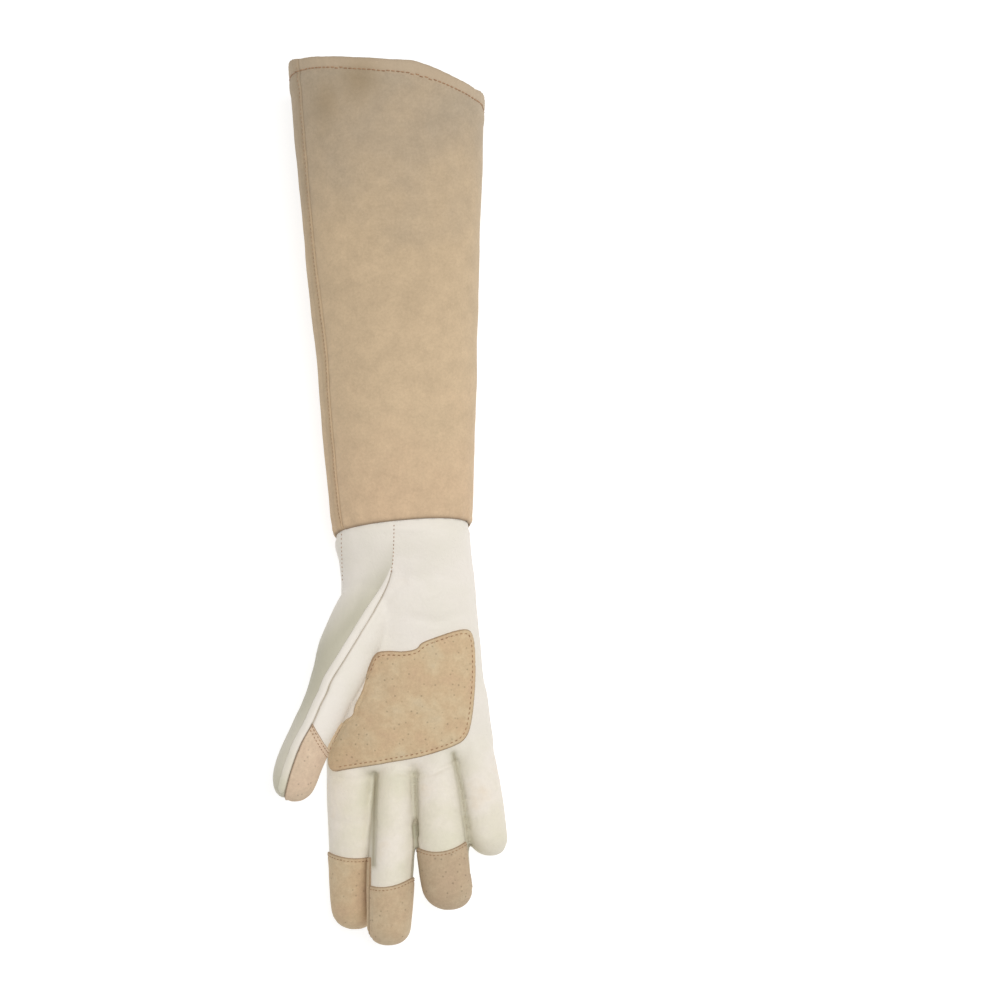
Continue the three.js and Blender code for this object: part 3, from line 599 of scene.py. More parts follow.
# Soft folds, pressed into the whole skin before it is cut up: swells all over, gathers on both sides of the
# elastic, and the creases that a hand leaves in the palm. Each crease is a line in plan with its depth.
FINGER_LINE = 1.3  # the depth of the three lines between the fingers
CREASES = [
    ([(-24, -62), (-14, -74), (-9, -90), (-8, -104)], 0.5, 3.2, 1),
    ([(2, -31), (-10, -46), (-19, -62)], 0.45, 2.6, 1),
    ([(38, -48), (22, -54), (8, -52)], 0.4, 3.0, 1),
    ([(36, -30), (18, -26), (4, -29)], 0.35, 3.4, 1),
    ([(-1, -140.5), (9, -142.0), (20, -141.0), (33, -134.5)], 0.8, 1.3, 1),
    ([(-40, -142.5), (-28, -145.0), (-16, -143.0)], 0.35, 1.6, 1),
    ([(-42, -168), (-28, -170), (-15, -168)], 0.4, 2.4, 1),
    ([(-13, -172), (-3, -174), (7, -171)], 0.4, 2.4, 1),
    ([(14, -166), (24, -168), (35, -163)], 0.4, 2.4, 1),
    ([(40, -156), (50, -157), (59, -152)], 0.35, 2.0, 1),
    ([(-36, -84), (-44, -80), (-50, -84)], 0.4, 2.6, 1),
    ([(-34, -58), (-26, -48), (-22, -34)], 0.5, 3.0, 1),
    ([(-14.2, -142), (-14.2, -165), (-14.3, -193)], FINGER_LINE, 1.5, 1),
    ([(8.6, -141), (9.0, -150), (9.6, -160), (10.2, -176)], FINGER_LINE, 1.5, 1),
    ([(31.5, -130), (36.0, -150), (39.1, -171), (40.8, -186)], FINGER_LINE, 1.5, 1),
    ([(-30, -150), (-12, -147), (10, -147), (30, -141)], 0.7, 2.6, -1),
    ([(-26, -96), (-6, -104), (16, -104), (38, -96)], 0.5, 5.0, -1),
    ([(-20, -60), (4, -66), (30, -60)], 0.45, 4.5, -1),
]


def to_line(points, line):
    """The distance in plan from each point to a line of several corners."""
    line = np.asarray(line, float)
    best = np.full(len(points), 1e9)
    for a, b in zip(line[:-1], line[1:]):
        along = np.clip(((points[:, :2] - a) @ (b - a)) / ((b - a) @ (b - a)), 0, 1)
        best = np.minimum(best, np.linalg.norm(points[:, :2] - a - along[:, None] * (b - a), axis=1))
    return best


x, y, z = skin.T
low_side, top_side = step(-normals[:, 2], 0.0, 0.5), step(normals[:, 2], 0.0, 0.5)
inside_cuff = step(y, -4.0, 1.0)
lift = 0.45 * ripple(skin, 26, 2.3) + 0.2 * ripple(skin, 9, 6.1)
gathers = np.cos(2 * np.pi * (x + 1.5 * ripple(skin, 20, 9.9)) / (GATHER_PITCH / 2))
lift += low_side * 0.75 * gathers * near(y - ELASTIC, 11) * (1 - 0.6 * near(y - ELASTIC, 3))
lift -= low_side * 0.5 * near(y - ELASTIC, 5)
for line, depth, width, facing in CREASES:
    lift -= depth * near(to_line(skin, line), width) * (top_side if facing > 0 else low_side)
skin = skin + normals * (lift * (1 - inside_cuff) - 0.6 * step(y, -1.0, 1.5))[:, None]
skin[:, 2] = np.maximum(skin[:, 2], 0.02)
normals = outward(skin, triangles)


def cut(points, triangles, field):
    """A skin cut along the line where the field is 0: the points, then each side's triangles."""
    field = np.where(np.abs(field) < 0.1, 0.0, field)
    sign = np.sign(field)
    corners = sign[triangles]
    crossed = (corners.max(1) > 0) & (corners.min(1) < 0)
    one = [tuple(t) for t in triangles[~crossed & (corners.sum(1) > 0)]]
    other = [tuple(t) for t in triangles[~crossed & (corners.sum(1) <= 0)]]
    added, known = [], {}
    for t in triangles[crossed]:
        walk = []
        for a, b in ((t[0], t[1]), (t[1], t[2]), (t[2], t[0])):
            walk.append((int(a), sign[a]))
            if sign[a] * sign[b] < 0:
                key = (min(a, b), max(a, b))
                if key not in known:
                    share = field[key[0]] / (field[key[0]] - field[key[1]])
                    known[key] = len(points) + len(added)
                    added.append(points[key[0]] + share * (points[key[1]] - points[key[0]]))
                walk.append((known[key], 0))
        for keep, faces in ((1, one), (-1, other)):
            part = [i for i, s in walk if s * keep >= 0]
            faces += [(part[0], part[k], part[k + 1]) for k in range(1, len(part) - 1)]
    points = np.concatenate([points, added]) if added else points
    return points, np.array(one).reshape(-1, 3), np.array(other).reshape(-1, 3)


def trimmed(points, triangles):
    """Only the points that the triangles use."""
    used, inverse = np.unique(triangles, return_inverse=True)
    return points[used], inverse.reshape(-1, 3)


def rim(triangles):
    """The edges that only one triangle has, in its own direction."""
    pairs = sides_of(triangles)
    first, count = np.unique(np.sort(pairs, 1), axis=0, return_index=True, return_counts=True)[1:]
    return pairs[first[count == 1]]


def reach_to(points, spots, most=8.0):
    """The distance from each point to the nearest of some spots."""
    finder = KDTree(len(spots))
    for i, spot in enumerate(spots):
        finder.insert(spot, i)
    finder.balance()
    return np.array([min(most, finder.find(p)[2]) for p in points[:, :3]])


def along_rim(points, triangles, keep=None):
    """Spots 0.4 mm apart along a panel's edge."""
    pairs = rim(triangles)
    if keep is not None:
        pairs = pairs[keep(points[pairs].mean(1))]
    starts, ends = points[pairs[:, 0], :3], points[pairs[:, 1], :3]
    return np.concatenate([starts + share * (ends - starts) for share in np.linspace(0, 1, 4)[:-1]])


# The seams of the hand: down from the wrist seam, the welt over the palm and along the thumb's front, the
# ridge over the back, and the height where the two sides part.
SEAMS = np.array([
    (12.3, -2.6, -41.0, 24.1), (0.0, -2.6, -39.5, 22.0), (-20.0, -3.5, -37.4, 16.0),
    (-29.0, -5.6, -33.6, 12.0), (-41.0, -10.5, -29.2, 24.1), (-61.0, -21.8, -30.7, 28.1),
    (-75.0, -30.0, -31.0, 31.0), (-90.0, -38.6, -32.3, 34.4), (-94.7, -40.1, -36.1, 35.4),
    (-100.0, -42.8, -40.0, 36.7), (-112.0, -47.8, -34.0, 39.2), (-123.0, -53.7, -37.5, 41.0),
    (-139.0, -59.6, -44.4, 43.0), (-156.0, -64.2, -55.0, 44.1), (-175.0, -68.5, -62.0, 45.0),
])
WELT, RIDGE, PARTING = 1, 2, 3
CROTCH = -94.7
THUMB_UNDER = 25.4
CROSS_LEVEL, CROSS_BEND, CROSS_SLOPE = -113.64, -23.64, 0.476  # the wing's lower seam, in plan


def seam(y, column):
    """One of the columns of the seams' rows, at a place down the hand."""
    return eased(-np.asarray(y, float), -SEAMS[:, 0], SEAMS[:, column])


def palm_depth(points):
    """How far out of the palm's own tube a point lies, below 0 inside it."""
    x, y, z = points[:, :3].T
    section = {key: np.interp(-y, downs, palm[key]) for key in ("x", "z", "wide", "high", "slant")}
    level = -(y - section["slant"] * (x - section["x"]) / section["wide"])
    section = {key: np.interp(level, downs, palm[key]) for key in section}
    over, up = (x - section["x"]) / section["wide"], (z - section["z"]) / section["high"]
    size = (np.abs(over) ** PALM_POWER + np.abs(up) ** PALM_POWER) ** (1 / PALM_POWER)
    return np.where(y < -PALM_LENGTH - 10, 30.0, (size - 1) * section["high"])


def thumb_side(points):
    """Above 0 on the thumb side of the seams."""
    x, y, z = points[:, :3].T
    welt, ridge, parting = (seam(y, column) for column in (WELT, RIDGE, PARTING))
    field = np.where(
        ridge < welt, np.maximum(ridge - x, np.minimum(welt - x, z - parting)),
        np.maximum(welt - x, np.minimum(ridge - x, parting - z)),
    )
    past = np.minimum(np.minimum(field, z - THUMB_UNDER), palm_depth(points) - 0.6)
    return np.where(y < CROTCH, past, field)


def above_cross(points):
    """Above 0 on the wing's side of its lower seam, which runs up towards the thumb's outer edge."""
    return points[:, 1] - CROSS_LEVEL + CROSS_SLOPE * np.minimum(points[:, 0] - CROSS_BEND, 0)


NEIGHBOURS = (("index", "middle"), ("middle", "ring"), ("ring", "little"))
STRIP_TOP = {"index": 2.0, "middle": 4.2, "ring": 2.4}  # how high each strip comes, over its fingers' middles
STRIP_AT_WEB, STRIP_AT_END = 6.2, 2.4  # and how low, below them


def strip_reach(first, second):
    """How far out from the web the strip between two fingers ends, short of the shorter one's tip."""
    return min(FINGERS[first][5], FINGERS[second][5]) * LONGEST - 7


def strip_under(out, reach):
    """How far a strip comes down below its fingers' middles. It narrows as it goes out."""
    return STRIP_AT_WEB + (STRIP_AT_END - STRIP_AT_WEB) * np.clip(out / reach, 0, 1) ** 2


def between(points, first, second):
    """Above 0 on the strip between two fingers, web and all."""
    reach = strip_reach(first, second)
    out, a = behind(points, first)
    b = behind(points, second)[1]
    share = np.clip((points[:, 0] - a[:, 0]) / (b[:, 0] - a[:, 0]), 0, 1)
    level = a[:, 2] + share * (b[:, 2] - a[:, 2])
    inner = np.minimum(points[:, 0] - a[:, 0], b[:, 0] - points[:, 0])
    high = points[:, 2] - level
    return np.min([strip_under(out, reach) + high, STRIP_TOP[first] - high, inner, out + 5, reach - out], 0)


OPEN_END = 8.4  # the hand ends open, this far inside the cuff
hand = np.concatenate([skin, normals], 1)
hand_points, hand_open = cut(hand, triangles, OPEN_END - hand[:, 1])[:2]
cut_points, thumb_faces, rest_faces = cut(hand_points, hand_open, thumb_side(hand_points))
cut_points, wing_faces, back_faces = cut(cut_points, thumb_faces, above_cross(cut_points))
panels = {"wing": wing_faces, "thumb_back": back_faces}
for first, second in NEIGHBOURS:
    cut_points, strip, rest_faces = cut(cut_points, rest_faces, between(cut_points, first, second))
    panels[f"fourchette_{first}_{second}"] = strip
panels["trank"] = rest_faces

# Grain leather of the hand: soft chrome-free goatskin, undyed cream. Its fine pebbled grain is a millimetre
# wide, it creases softly, and it keeps a low waxy sheen. Painted light makes the palm lighter and bluer than the
# fingers; painted grey-green shade lies along the fingers' sides, on the strips between them and on the wing; and
# it darkens along the seams, and as painted shade along the lines between the fingers.
goatskin, tree, mm = started("goat grain leather")
cloud = add(tree, "ShaderNodeTexNoise", {"Vector": mm, "Scale": 1 / 30, "Detail": 3.0, "Roughness": 0.55})
hide = add(tree, "ShaderNodeValToRGB", {"Fac": cloud.outputs["Fac"]})
stops = hide.color_ramp.elements
stops[0].position, stops[0].color = 0.3, linear("#dfdac4")
stops[1].position, stops[1].color = 0.75, linear("#e9dcc9")
for spot, colour in ((0.48, "#e6dfce"), (0.62, "#ece4d8")):
    stops.new(spot).color = linear(colour)
speck = add(tree, "ShaderNodeTexNoise", {"Vector": mm, "Scale": 1 / 2.2, "Detail": 4.0, "Roughness": 0.7})
speck = add(tree, "ShaderNodeMapRange", {
    "Value": speck.outputs["Fac"], "From Min": 0.3, "From Max": 0.7, "To Min": 0.965, "To Max": 1.02,
})
speck = add(tree, "ShaderNodeCombineColor", {
    "Red": speck.outputs[0], "Green": speck.outputs[0], "Blue": speck.outputs[0],
})
tone = add(tree, "ShaderNodeMix", {
    0: 1.0, 6: hide.outputs["Color"], 7: speck.outputs["Color"],
}, data_type="RGBA", blend_type="MULTIPLY")
parts = add(tree, "ShaderNodeSeparateXYZ", {"Vector": mm})
# painted light: the palm's upturned face lighter and bluer than the fingers, whose rounded sides fall into shade
palm_side = add(tree, "ShaderNodeMapRange", {
    "Value": parts.outputs["Y"], "From Min": SHIFT[1] - 150, "From Max": SHIFT[1] - 115, "To Min": 0.0, "To Max": 0.65,
})
tone = add(tree, "ShaderNodeMix", {
    0: palm_side.outputs["Result"], 6: tone.outputs[2], 7: linear("#ece6df"),
}, data_type="RGBA")
# painted shade: grey-green along the fingers' sides, over the strips between them, and on the wing and the thumb's
# back
dull = add(tree, "ShaderNodeAttribute", attribute_name="dull")
tone = add(tree, "ShaderNodeMix", {
    0: dull.outputs["Fac"], 6: tone.outputs[2], 7: linear("#b5b199"),
}, data_type="RGBA")
# darker towards brown along the seams, as a dark seam line, and along the lines between the fingers as painted shade
# of the gaps there
edge = add(tree, "ShaderNodeAttribute", attribute_name="from_seam")
edge = add(tree, "ShaderNodeMapRange", {
    "Value": edge.outputs["Fac"], "From Min": 0.15, "From Max": 1.0, "To Min": 0.5, "To Max": 0.0,
})
tone = add(tree, "ShaderNodeMix", {
    0: edge.outputs["Result"], 6: tone.outputs[2], 7: linear("#9c8b76"),
}, data_type="RGBA")
pebble = add(tree, "ShaderNodeTexVoronoi", {"Vector": mm, "Scale": 1 / 1.1, "Randomness": 1.0}, feature="SMOOTH_F1")
crease = add(tree, "ShaderNodeTexNoise", {
    "Vector": mm, "Scale": 1 / 5, "Detail": 5.0, "Roughness": 0.65, "Distortion": 0.6,
})
fine = add(tree, "ShaderNodeBump", {"Height": pebble.outputs["Distance"], "Strength": 0.25, "Distance": 0.00025})
relief = add(tree, "ShaderNodeBump", {
    "Height": crease.outputs["Fac"], "Strength": 0.35, "Distance": 0.0011, "Normal": fine.outputs["Normal"],
})
gloss = add(tree, "ShaderNodeMapRange", {
    "Value": crease.outputs["Fac"], "From Min": 0.3, "From Max": 0.7, "To Min": 0.62, "To Max": 0.48,
})
shader = add(tree, "ShaderNodeBsdfPrincipled", {
    "Base Color": tone.outputs[2], "Normal": relief.outputs["Normal"], "Roughness": gloss.outputs["Result"],
    "Specular IOR Level": 0.35, "Sheen Weight": 0.08, "Sheen Roughness": 0.5,
})
add(tree, "ShaderNodeOutputMaterial", {"Surface": shader.outputs["BSDF"]})

# The panels: the trank, one piece for the palm and the fronts and backs of the fingers, the wing at the thumb
# side, the thumb's back, and the strips between the fingers. They are sewn right sides together, so that
# along each seam both edges roll in.
STANDS_FOR = {
    "trank": ("hand_trank", "index_finger", "middle_finger", "ring_finger", "little_finger", "thumb_front"),
    "wing": ("wing",), "thumb_back": ("thumb_back",),
}
FINGER_LINES = [line for line, depth, width, facing in CREASES if depth == FINGER_LINE]


def rolls_in(spots):
    """Where a panel's edge is a seam that shows: not in the cuff, nor where the two leathers lie flat."""
    x, y, z = spots[:, :3].T
    flat_welt = (y > -25) & (z > 24) & (np.abs(x - seam(y, WELT)) < 1.5)
    flat_cross = (np.abs(above_cross(spots)) < 0.5) & (z > 36)
    return (y < 7.5) & ~flat_welt & ~flat_cross


for name, faces in panels.items():
    points, faces = trimmed(cut_points, faces)
    edge = along_rim(points, faces, keep=rolls_in)
    from_seam = reach_to(points, edge)
    tuck = -0.55 * np.clip(1 - from_seam / 1.2, 0, 1) ** 1.6 + 0.18 * near(from_seam - 2.6, 1.2)
    sheet = points[:, :3] + points[:, 3:] * tuck[:, None]
    between_fingers = np.min([to_line(points, line) for line in FINGER_LINES], 0)
    between_fingers = np.where(points[:, 5] > 0.1, between_fingers, 9.0)
    # painted shade: grey-green near the lines between the fingers, and over the whole strip between two fingers
    dull = 0.28 * near(between_fingers, 4.5) + 0.6 * near(between_fingers, 1.4) + 0.75 * name.startswith("fourchette")
    if name in ("wing", "thumb_back"):
        # painted shade on the wing: none at the wrist, deepening down towards the thumb, and easing on the thumb's
        # back
        dull = 0.76 * step(points[:, 0] - points[:, 1] - 7, -8, 24) - 0.3 * step(-points[:, 1], 90, 125)
    # painted shade: the seams' darkening also laid along the lines between the fingers, where the gaps between them
    # are shaded
    from_seam = np.minimum(from_seam, between_fingers + 0.1)
    made = piece(name, sheet, faces, goatskin, "grain_leather", from_seam=from_seam, dull=dull)
    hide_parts(*STANDS_FOR.get(name, (name,)))

skin_tree = surface(hand_points, hand_open)


def seen_from(above, line):
    """Places on the skin straight below a line in plan, or straight above it, with the way out."""
    spots, outs = [], []
    for x, y in line:
        hit = skin_tree.ray_cast(Vector((x, y, 120 if above else -60)), Vector((0, 0, -1 if above else 1)))
        if hit[0] is not None:
            spots.append(hit[0])
            outs.append(hit[1])
    return np.array(spots), np.array(outs)


def rolled(spots, outs, wide, proud, sides=8, lead=2.5):
    """A rolled strip of leather along a line on the skin. It tapers in over the lead, and off at its end."""
    spots = np.asarray(spots, float)
    for i in range(4):
        spots[1:-1] = (spots[:-2] + 2 * spots[1:-1] + spots[2:]) / 4
        outs[1:-1] = (outs[:-2] + 2 * outs[1:-1] + outs[2:]) / 4
    way = np.gradient(spots, axis=0)
    way /= np.linalg.norm(way, axis=1)[:, None]
    side = np.cross(outs, way)
    side /= np.linalg.norm(side, axis=1)[:, None]
    run = np.concatenate([[0], np.cumsum(np.linalg.norm(np.diff(spots, axis=0), axis=1))])
    taper = np.clip(np.minimum(run / lead, (run[-1] - run) / 2.5), 0.05, 1) ** 0.6
    points, faces = [], []
    for k in range(sides):
        a = 2 * math.pi * k / sides
        across, up = wide / 2 * math.cos(a) * taper, (proud * math.sin(a) - 0.1) * taper
        points.append(spots + side * across[:, None] + outs * up[:, None])
    grid = np.stack(points, 1)
    n = len(spots)
    for i in range(n - 1):
        for k in range(sides):
            a, b = i * sides + k, i * sides + (k + 1) % sides
            faces.append((a, b, b + sides, a + sides))
    faces.append(tuple(range(sides - 1, -1, -1)))
    faces.append(tuple((n - 1) * sides + k for k in range(sides)))
    return grid.reshape(-1, 3), faces


# Welts: narrow strips of the same goatskin, rolled and sewn into the seams that rub most, over the palm and
# down the thumb, over the back, and along the backs of the fingers. They stand a little proud.
ys = np.arange(-22, -152, -1.2)
aside = 0.6 + 2.3 * step(-ys, 22, 48)
ropes = [rolled(*seen_from(True, np.stack([seam(ys, WELT) - aside, ys], -1)), 4.8, 1.0, sides=12, lead=30)]
ys = np.arange(-26, -92, -1.2)
ropes.append(rolled(*seen_from(False, np.stack([seam(ys, RIDGE) + 1.3, ys], -1)), 2.2, 0.9, lead=9))
SIDE_WELT = 1.5, 0.75  # width, and how far it stands proud


def beside(name, side, level, start, end):
    """A line along a finger's side, at a level below its middle line, on the skin."""
    outs = np.arange(start, end, 1.2)
    line = finger_middle(name, outs)
    line[:, 2] += level(outs)
    spots, ways = [], []
    for spot in line:
        hit = skin_tree.ray_cast(Vector(spot), Vector((side, 0, -0.12)))
        if hit[0] is not None and abs(hit[0][0] - spot[0]) < 18:
            spots.append(hit[0])
            ways.append(hit[1])
    return np.array(spots), np.array(ways)


for first, second in NEIGHBOURS:
    reach = strip_reach(first, second)
    for name, side in ((first, 1), (second, -1)):
        ropes.append(rolled(*beside(name, side, lambda outs: -strip_under(outs, reach), 4, reach), *SIDE_WELT))
ropes.append(rolled(*beside("index", -1, lambda outs: 0 * outs - 5.2, -25, 88), *SIDE_WELT))
points, faces = together(ropes)
# the welts take neither the seams' darkening nor any painted shade
clear = np.full(len(points), 8.0)  # as clear of the seams' grey as the middle of a panel
piece("welts", points, faces, goatskin, "grain_leather", from_seam=clear, dull=0 * clear)

# Pigskin suede, tan: the palm patch and the tips that cover the fronts and sides of three fingers and the
# front of the thumb. Pores pierce pigskin right through, in scattered dark specks, and the nap is short.
pigskin, tree, mm = started("pigskin suede")
cloud = add(tree, "ShaderNodeTexNoise", {"Vector": mm, "Scale": 1 / 16, "Detail": 3.0, "Roughness": 0.6})
hide = add(tree, "ShaderNodeValToRGB", {"Fac": cloud.outputs["Fac"]})
stops = hide.color_ramp.elements
stops[0].position, stops[0].color = 0.3, linear("#d0b392")
stops[1].position, stops[1].color = 0.75, linear("#cfbd9f")
for spot, colour in ((0.45, "#d0b693"), (0.6, "#d3bd9b")):
    stops.new(spot).color = linear(colour)
# the hide attribute: each piece's own tone, plus painted shade on the palm patch beside the thumb
tone = add(tree, "ShaderNodeAttribute", attribute_name="hide")
less = add(tree, "ShaderNodeMath", {0: tone.outputs["Fac"], 1: -1.0}, operation="MULTIPLY")
warm = add(tree, "ShaderNodeMix", {
    0: tone.outputs["Fac"], 6: hide.outputs["Color"], 7: linear("#b19f8a"),
}, data_type="RGBA")
warm = add(tree, "ShaderNodeMix", {0: less.outputs[0], 6: warm.outputs[2], 7: linear("#e6d0bf")}, data_type="RGBA")
patch = add(tree, "ShaderNodeTexNoise", {"Vector": mm, "Scale": 1 / 4, "Detail": 4.0, "Roughness": 0.7})
patch = add(tree, "ShaderNodeMapRange", {
    "Value": patch.outputs["Fac"], "From Min": 0.3, "From Max": 0.7, "To Min": 0.93, "To Max": 1.05,
})
fleck = add(tree, "ShaderNodeTexNoise", {"Vector": mm, "Scale": 1 / 1.3, "Detail": 3.0, "Roughness": 0.7})
fleck = add(tree, "ShaderNodeMapRange", {
    "Value": fleck.outputs["Fac"], "From Min": 0.3, "From Max": 0.7, "To Min": 0.92, "To Max": 1.06,
})
pore = add(tree, "ShaderNodeTexVoronoi", {"Vector": mm, "Scale": 1 / 3.1, "Randomness": 1.0}, feature="F1")
some = add(tree, "ShaderNodeMath", {0: pore.outputs["Color"], 1: 0.52}, operation="GREATER_THAN")
hole = add(tree, "ShaderNodeMapRange", {
    "Value": pore.outputs["Distance"], "From Min": 0.07, "From Max": 0.24, "To Min": 0.34, "To Max": 0.0,
})
hole = add(tree, "ShaderNodeMath", {0: hole.outputs["Result"], 1: some.outputs[0]}, operation="MULTIPLY")
light = add(tree, "ShaderNodeMath", {0: patch.outputs["Result"], 1: fleck.outputs["Result"]}, operation="MULTIPLY")
light = add(tree, "ShaderNodeMath", {0: light.outputs[0], 1: hole.outputs[0]}, operation="SUBTRACT")
light = add(tree, "ShaderNodeCombineColor", {
    "Red": light.outputs[0], "Green": light.outputs[0], "Blue": light.outputs[0],
})
tone = add(tree, "ShaderNodeMix", {
    0: 1.0, 6: warm.outputs[2], 7: light.outputs["Color"],
}, data_type="RGBA", blend_type="MULTIPLY")
edge = add(tree, "ShaderNodeAttribute", attribute_name="from_edge")
edge = add(tree, "ShaderNodeMapRange", {
    "Value": edge.outputs["Fac"], "From Min": 0.2, "From Max": 0.9, "To Min": 0.75, "To Max": 0.0,
})
tone = add(tree, "ShaderNodeMix", {
    0: edge.outputs["Result"], 6: tone.outputs[2], 7: linear("#8d7158"),
}, data_type="RGBA")
nap = add(tree, "ShaderNodeTexNoise", {"Vector": mm, "Scale": 1 / 0.7, "Detail": 4.0, "Roughness": 0.7})
fine = add(tree, "ShaderNodeBump", {"Height": nap.outputs["Fac"], "Strength": 0.4, "Distance": 0.0003})
dent = add(tree, "ShaderNodeBump", {
    "Height": hole.outputs[0], "Strength": 0.6, "Distance": 0.0004, "Normal": fine.outputs["Normal"],
}, invert=True)
shader = add(tree, "ShaderNodeBsdfPrincipled", {
    "Base Color": tone.outputs[2], "Normal": dent.outputs["Normal"], "Roughness": 0.93,
    "Specular IOR Level": 0.2, "Sheen Weight": 0.25, "Sheen Roughness": 0.6, "Sheen Tint": linear("#f1e4cf"),
})
add(tree, "ShaderNodeOutputMaterial", {"Surface": shader.outputs["BSDF"]})


def sewn_on(name, field, tone, groove, under=None):
    """A piece of suede over the skin wherever the field is above 0, with its edge rolled down to the skin."""
    points, faces = trimmed(*cut(hand_points, hand_open, field)[:2])
    from_edge = reach_to(points, along_rim(points, faces))
    rolled_down = np.sqrt(1 - (1 - np.clip(from_edge, 0, 1)) ** 2)
    rise = SUEDE_LAYER * (0.35 + 0.65 * rolled_down) - 0.4 * near(from_edge - groove, 0.7)
    top = points[:, :3] + points[:, 3:] * rise[:, None]
    pairs = rim(faces)
    used, inverse = np.unique(pairs, return_inverse=True)
    inverse = inverse.reshape(-1, 2) + len(top)
    base = points[used, :3] - points[used, 3:] * 0.35
    wall = np.concatenate([
        np.stack([pairs[:, 1], pairs[:, 0], inverse[:, 0]], -1),
        np.stack([pairs[:, 1], inverse[:, 0], inverse[:, 1]], -1),
    ])
    all_points = np.concatenate([top, base])
    shown = np.concatenate([from_edge, np.zeros(len(base))])
    tone_and_thumb_shade = np.full(len(all_points), tone)
    if under is not None:
        shown = np.maximum(shown, 3 * near(to_line(all_points, under), 3))
        # painted shade: the palm patch darker within about 20 mm of its edge by the thumb, where the thumb's bulge
        # shades it
        tone_and_thumb_shade += 0.22 * near(to_line(all_points, under), 20)
    all_faces = np.concatenate([faces, wall])
    made = piece(name, all_points, all_faces, pigskin, "patch_suede", from_edge=shown, hide=tone_and_thumb_shade)
    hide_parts(name.replace("suede_", ""))
    return top, faces, from_edge


def contours(points, triangles, values, level):
    """Lines on a surface where its values reach a level, each as a chain of places."""
    ends, links = {}, {}
    for t in triangles[(values[triangles].max(1) > level) & (values[triangles].min(1) <= level)]:
        hits = []
        for a, b in ((t[0], t[1]), (t[1], t[2]), (t[2], t[0])):
            if (values[a] > level) != (values[b] > level):
                key = (min(a, b), max(a, b))
                share = (level - values[key[0]]) / (values[key[1]] - values[key[0]])
                ends[key] = points[key[0], :3] + share * (points[key[1], :3] - points[key[0], :3])
                hits.append(key)
        if len(hits) == 2:
            links.setdefault(hits[0], []).append(hits[1])
            links.setdefault(hits[1], []).append(hits[0])
    chains, seen = [], set()
    for first in sorted(links, key=lambda k: (len(links[k]), k)):
        if first in seen:
            continue
        chain, at = [first], first
        seen.add(first)
        while True:
            following = [k for k in links[at] if k not in seen]
            if not following:
                break
            at = following[0]
            seen.add(at)
            chain.append(at)
        if len(chain) > 8:
            line = np.array([ends[k] for k in chain])
            for i in range(3):
                line[1:-1] = (line[:-2] + 2 * line[1:-1] + line[2:]) / 4
            chains.append(line)
    return chains


# The palm patch, in plan from its corner by the thumb and round
PATCH_ROWS = np.array([
    (-0.14, 0.526), (-0.081, 0.518), (0.03, 0.522), (0.08, 0.516), (0.112, 0.507), (0.126, 0.486), (0.211, 0.462),
    (0.386, 0.419), (0.432, 0.441), (0.445, 0.544), (0.445, 0.676), (0.426, 0.824), (0.391, 0.897), (0.296, 0.93),
    (0.148, 0.965), (-0.059, 0.992), (-0.296, 1.019), (-0.412, 1.036), (-0.42, 0.945), (-0.372, 0.875),
    (-0.325, 0.812), (-0.27, 0.795), (-0.262, 0.75), (-0.222, 0.7), (-0.196, 0.64), (-0.178, 0.59),
])
outline = PATCH_ROWS * (PALM_WIDTH, -PALM_LENGTH)
for i in range(2):  # its corners are cut, and cut again, to a curve
    after = np.roll(outline, -1, 0)
    outline = np.stack([0.75 * outline + 0.25 * after, 0.25 * outline + 0.75 * after], 1).reshape(-1, 2)


def within(points, outline):
    """Above 0 inside an outline in plan, by the distance to it."""
    closed = np.concatenate([outline, outline[:1]])
    x, y = points[:, 0], points[:, 1]
    odd = np.zeros(len(points), bool)
    for (ax, ay), (bx, by) in zip(closed[:-1], closed[1:]):
        spans = (ay > y) != (by > y)
        odd ^= spans & (x < (bx - ax) * (y - ay) / (by - ay + 1e-12) + ax)
    return np.where(odd, 1, -1) * to_line(points, closed)


def finger_edge(name, points, middle, half, level, slope, bow):
    """Above 0 past the edge of a fingertip's suede, on the finger's front and sides."""
    out, line = behind(points, name)
    across = (points[:, 0] - middle) / half
    edge = level + slope * across + bow * np.clip(across, -1.1, 1.1) ** 2
    own = np.abs(points[:, 0] - line[:, 0])
    others = [np.abs(points[:, 0] - behind(points, other)[1][:, 0]) for other in FINGERS if other != name]
    field = np.minimum(edge - points[:, 1], points[:, 2] - line[:, 2] + 0.2 * FINGER_THICK)
    return np.minimum(field, np.min(others, 0) - own), edge - points[:, 1]


PATCH_LINE = 2.3  # its stitches, in from the edge
sewing = []
patch_field = np.minimum(within(hand_points, outline), hand_points[:, 2] - 20.0)
TUCKED_UNDER = PATCH_ROWS[17:25] * (PALM_WIDTH, -PALM_LENGTH)  # its edge by the thumb, sewn into the fold there
top, faces, from_edge = sewn_on("suede_palm_patch", patch_field, 0.0, PATCH_LINE, under=TUCKED_UNDER)
for chain in contours(top, faces, from_edge, PATCH_LINE):
    seen = to_line(chain, TUCKED_UNDER) > 5
    ends = np.flatnonzero(np.diff(seen.astype(int)) > 0)
    chain = np.roll(chain, -ends[0] - 1, 0) if len(ends) else chain
    chain = chain[np.roll(seen, -ends[0] - 1)] if len(ends) else chain
    sewing.append(stitches(surface(top, faces), chain, 3.0, 1.9, 0.26, 0.0))
TIP_LINE = 2.0
TIPS = {  # middle, half width, the edge's level, slope and bow, and how dark its hide is
    "index": (-27.5, 13.0, -189.6, -0.9, 2.0, 0.15), "middle": (-5.5, 11.5, -204.8, 1.6, 2.2, 0.3),
    "ring": (26.0, 13.0, -185.0, 2.2, 3.4, 0.5),
}
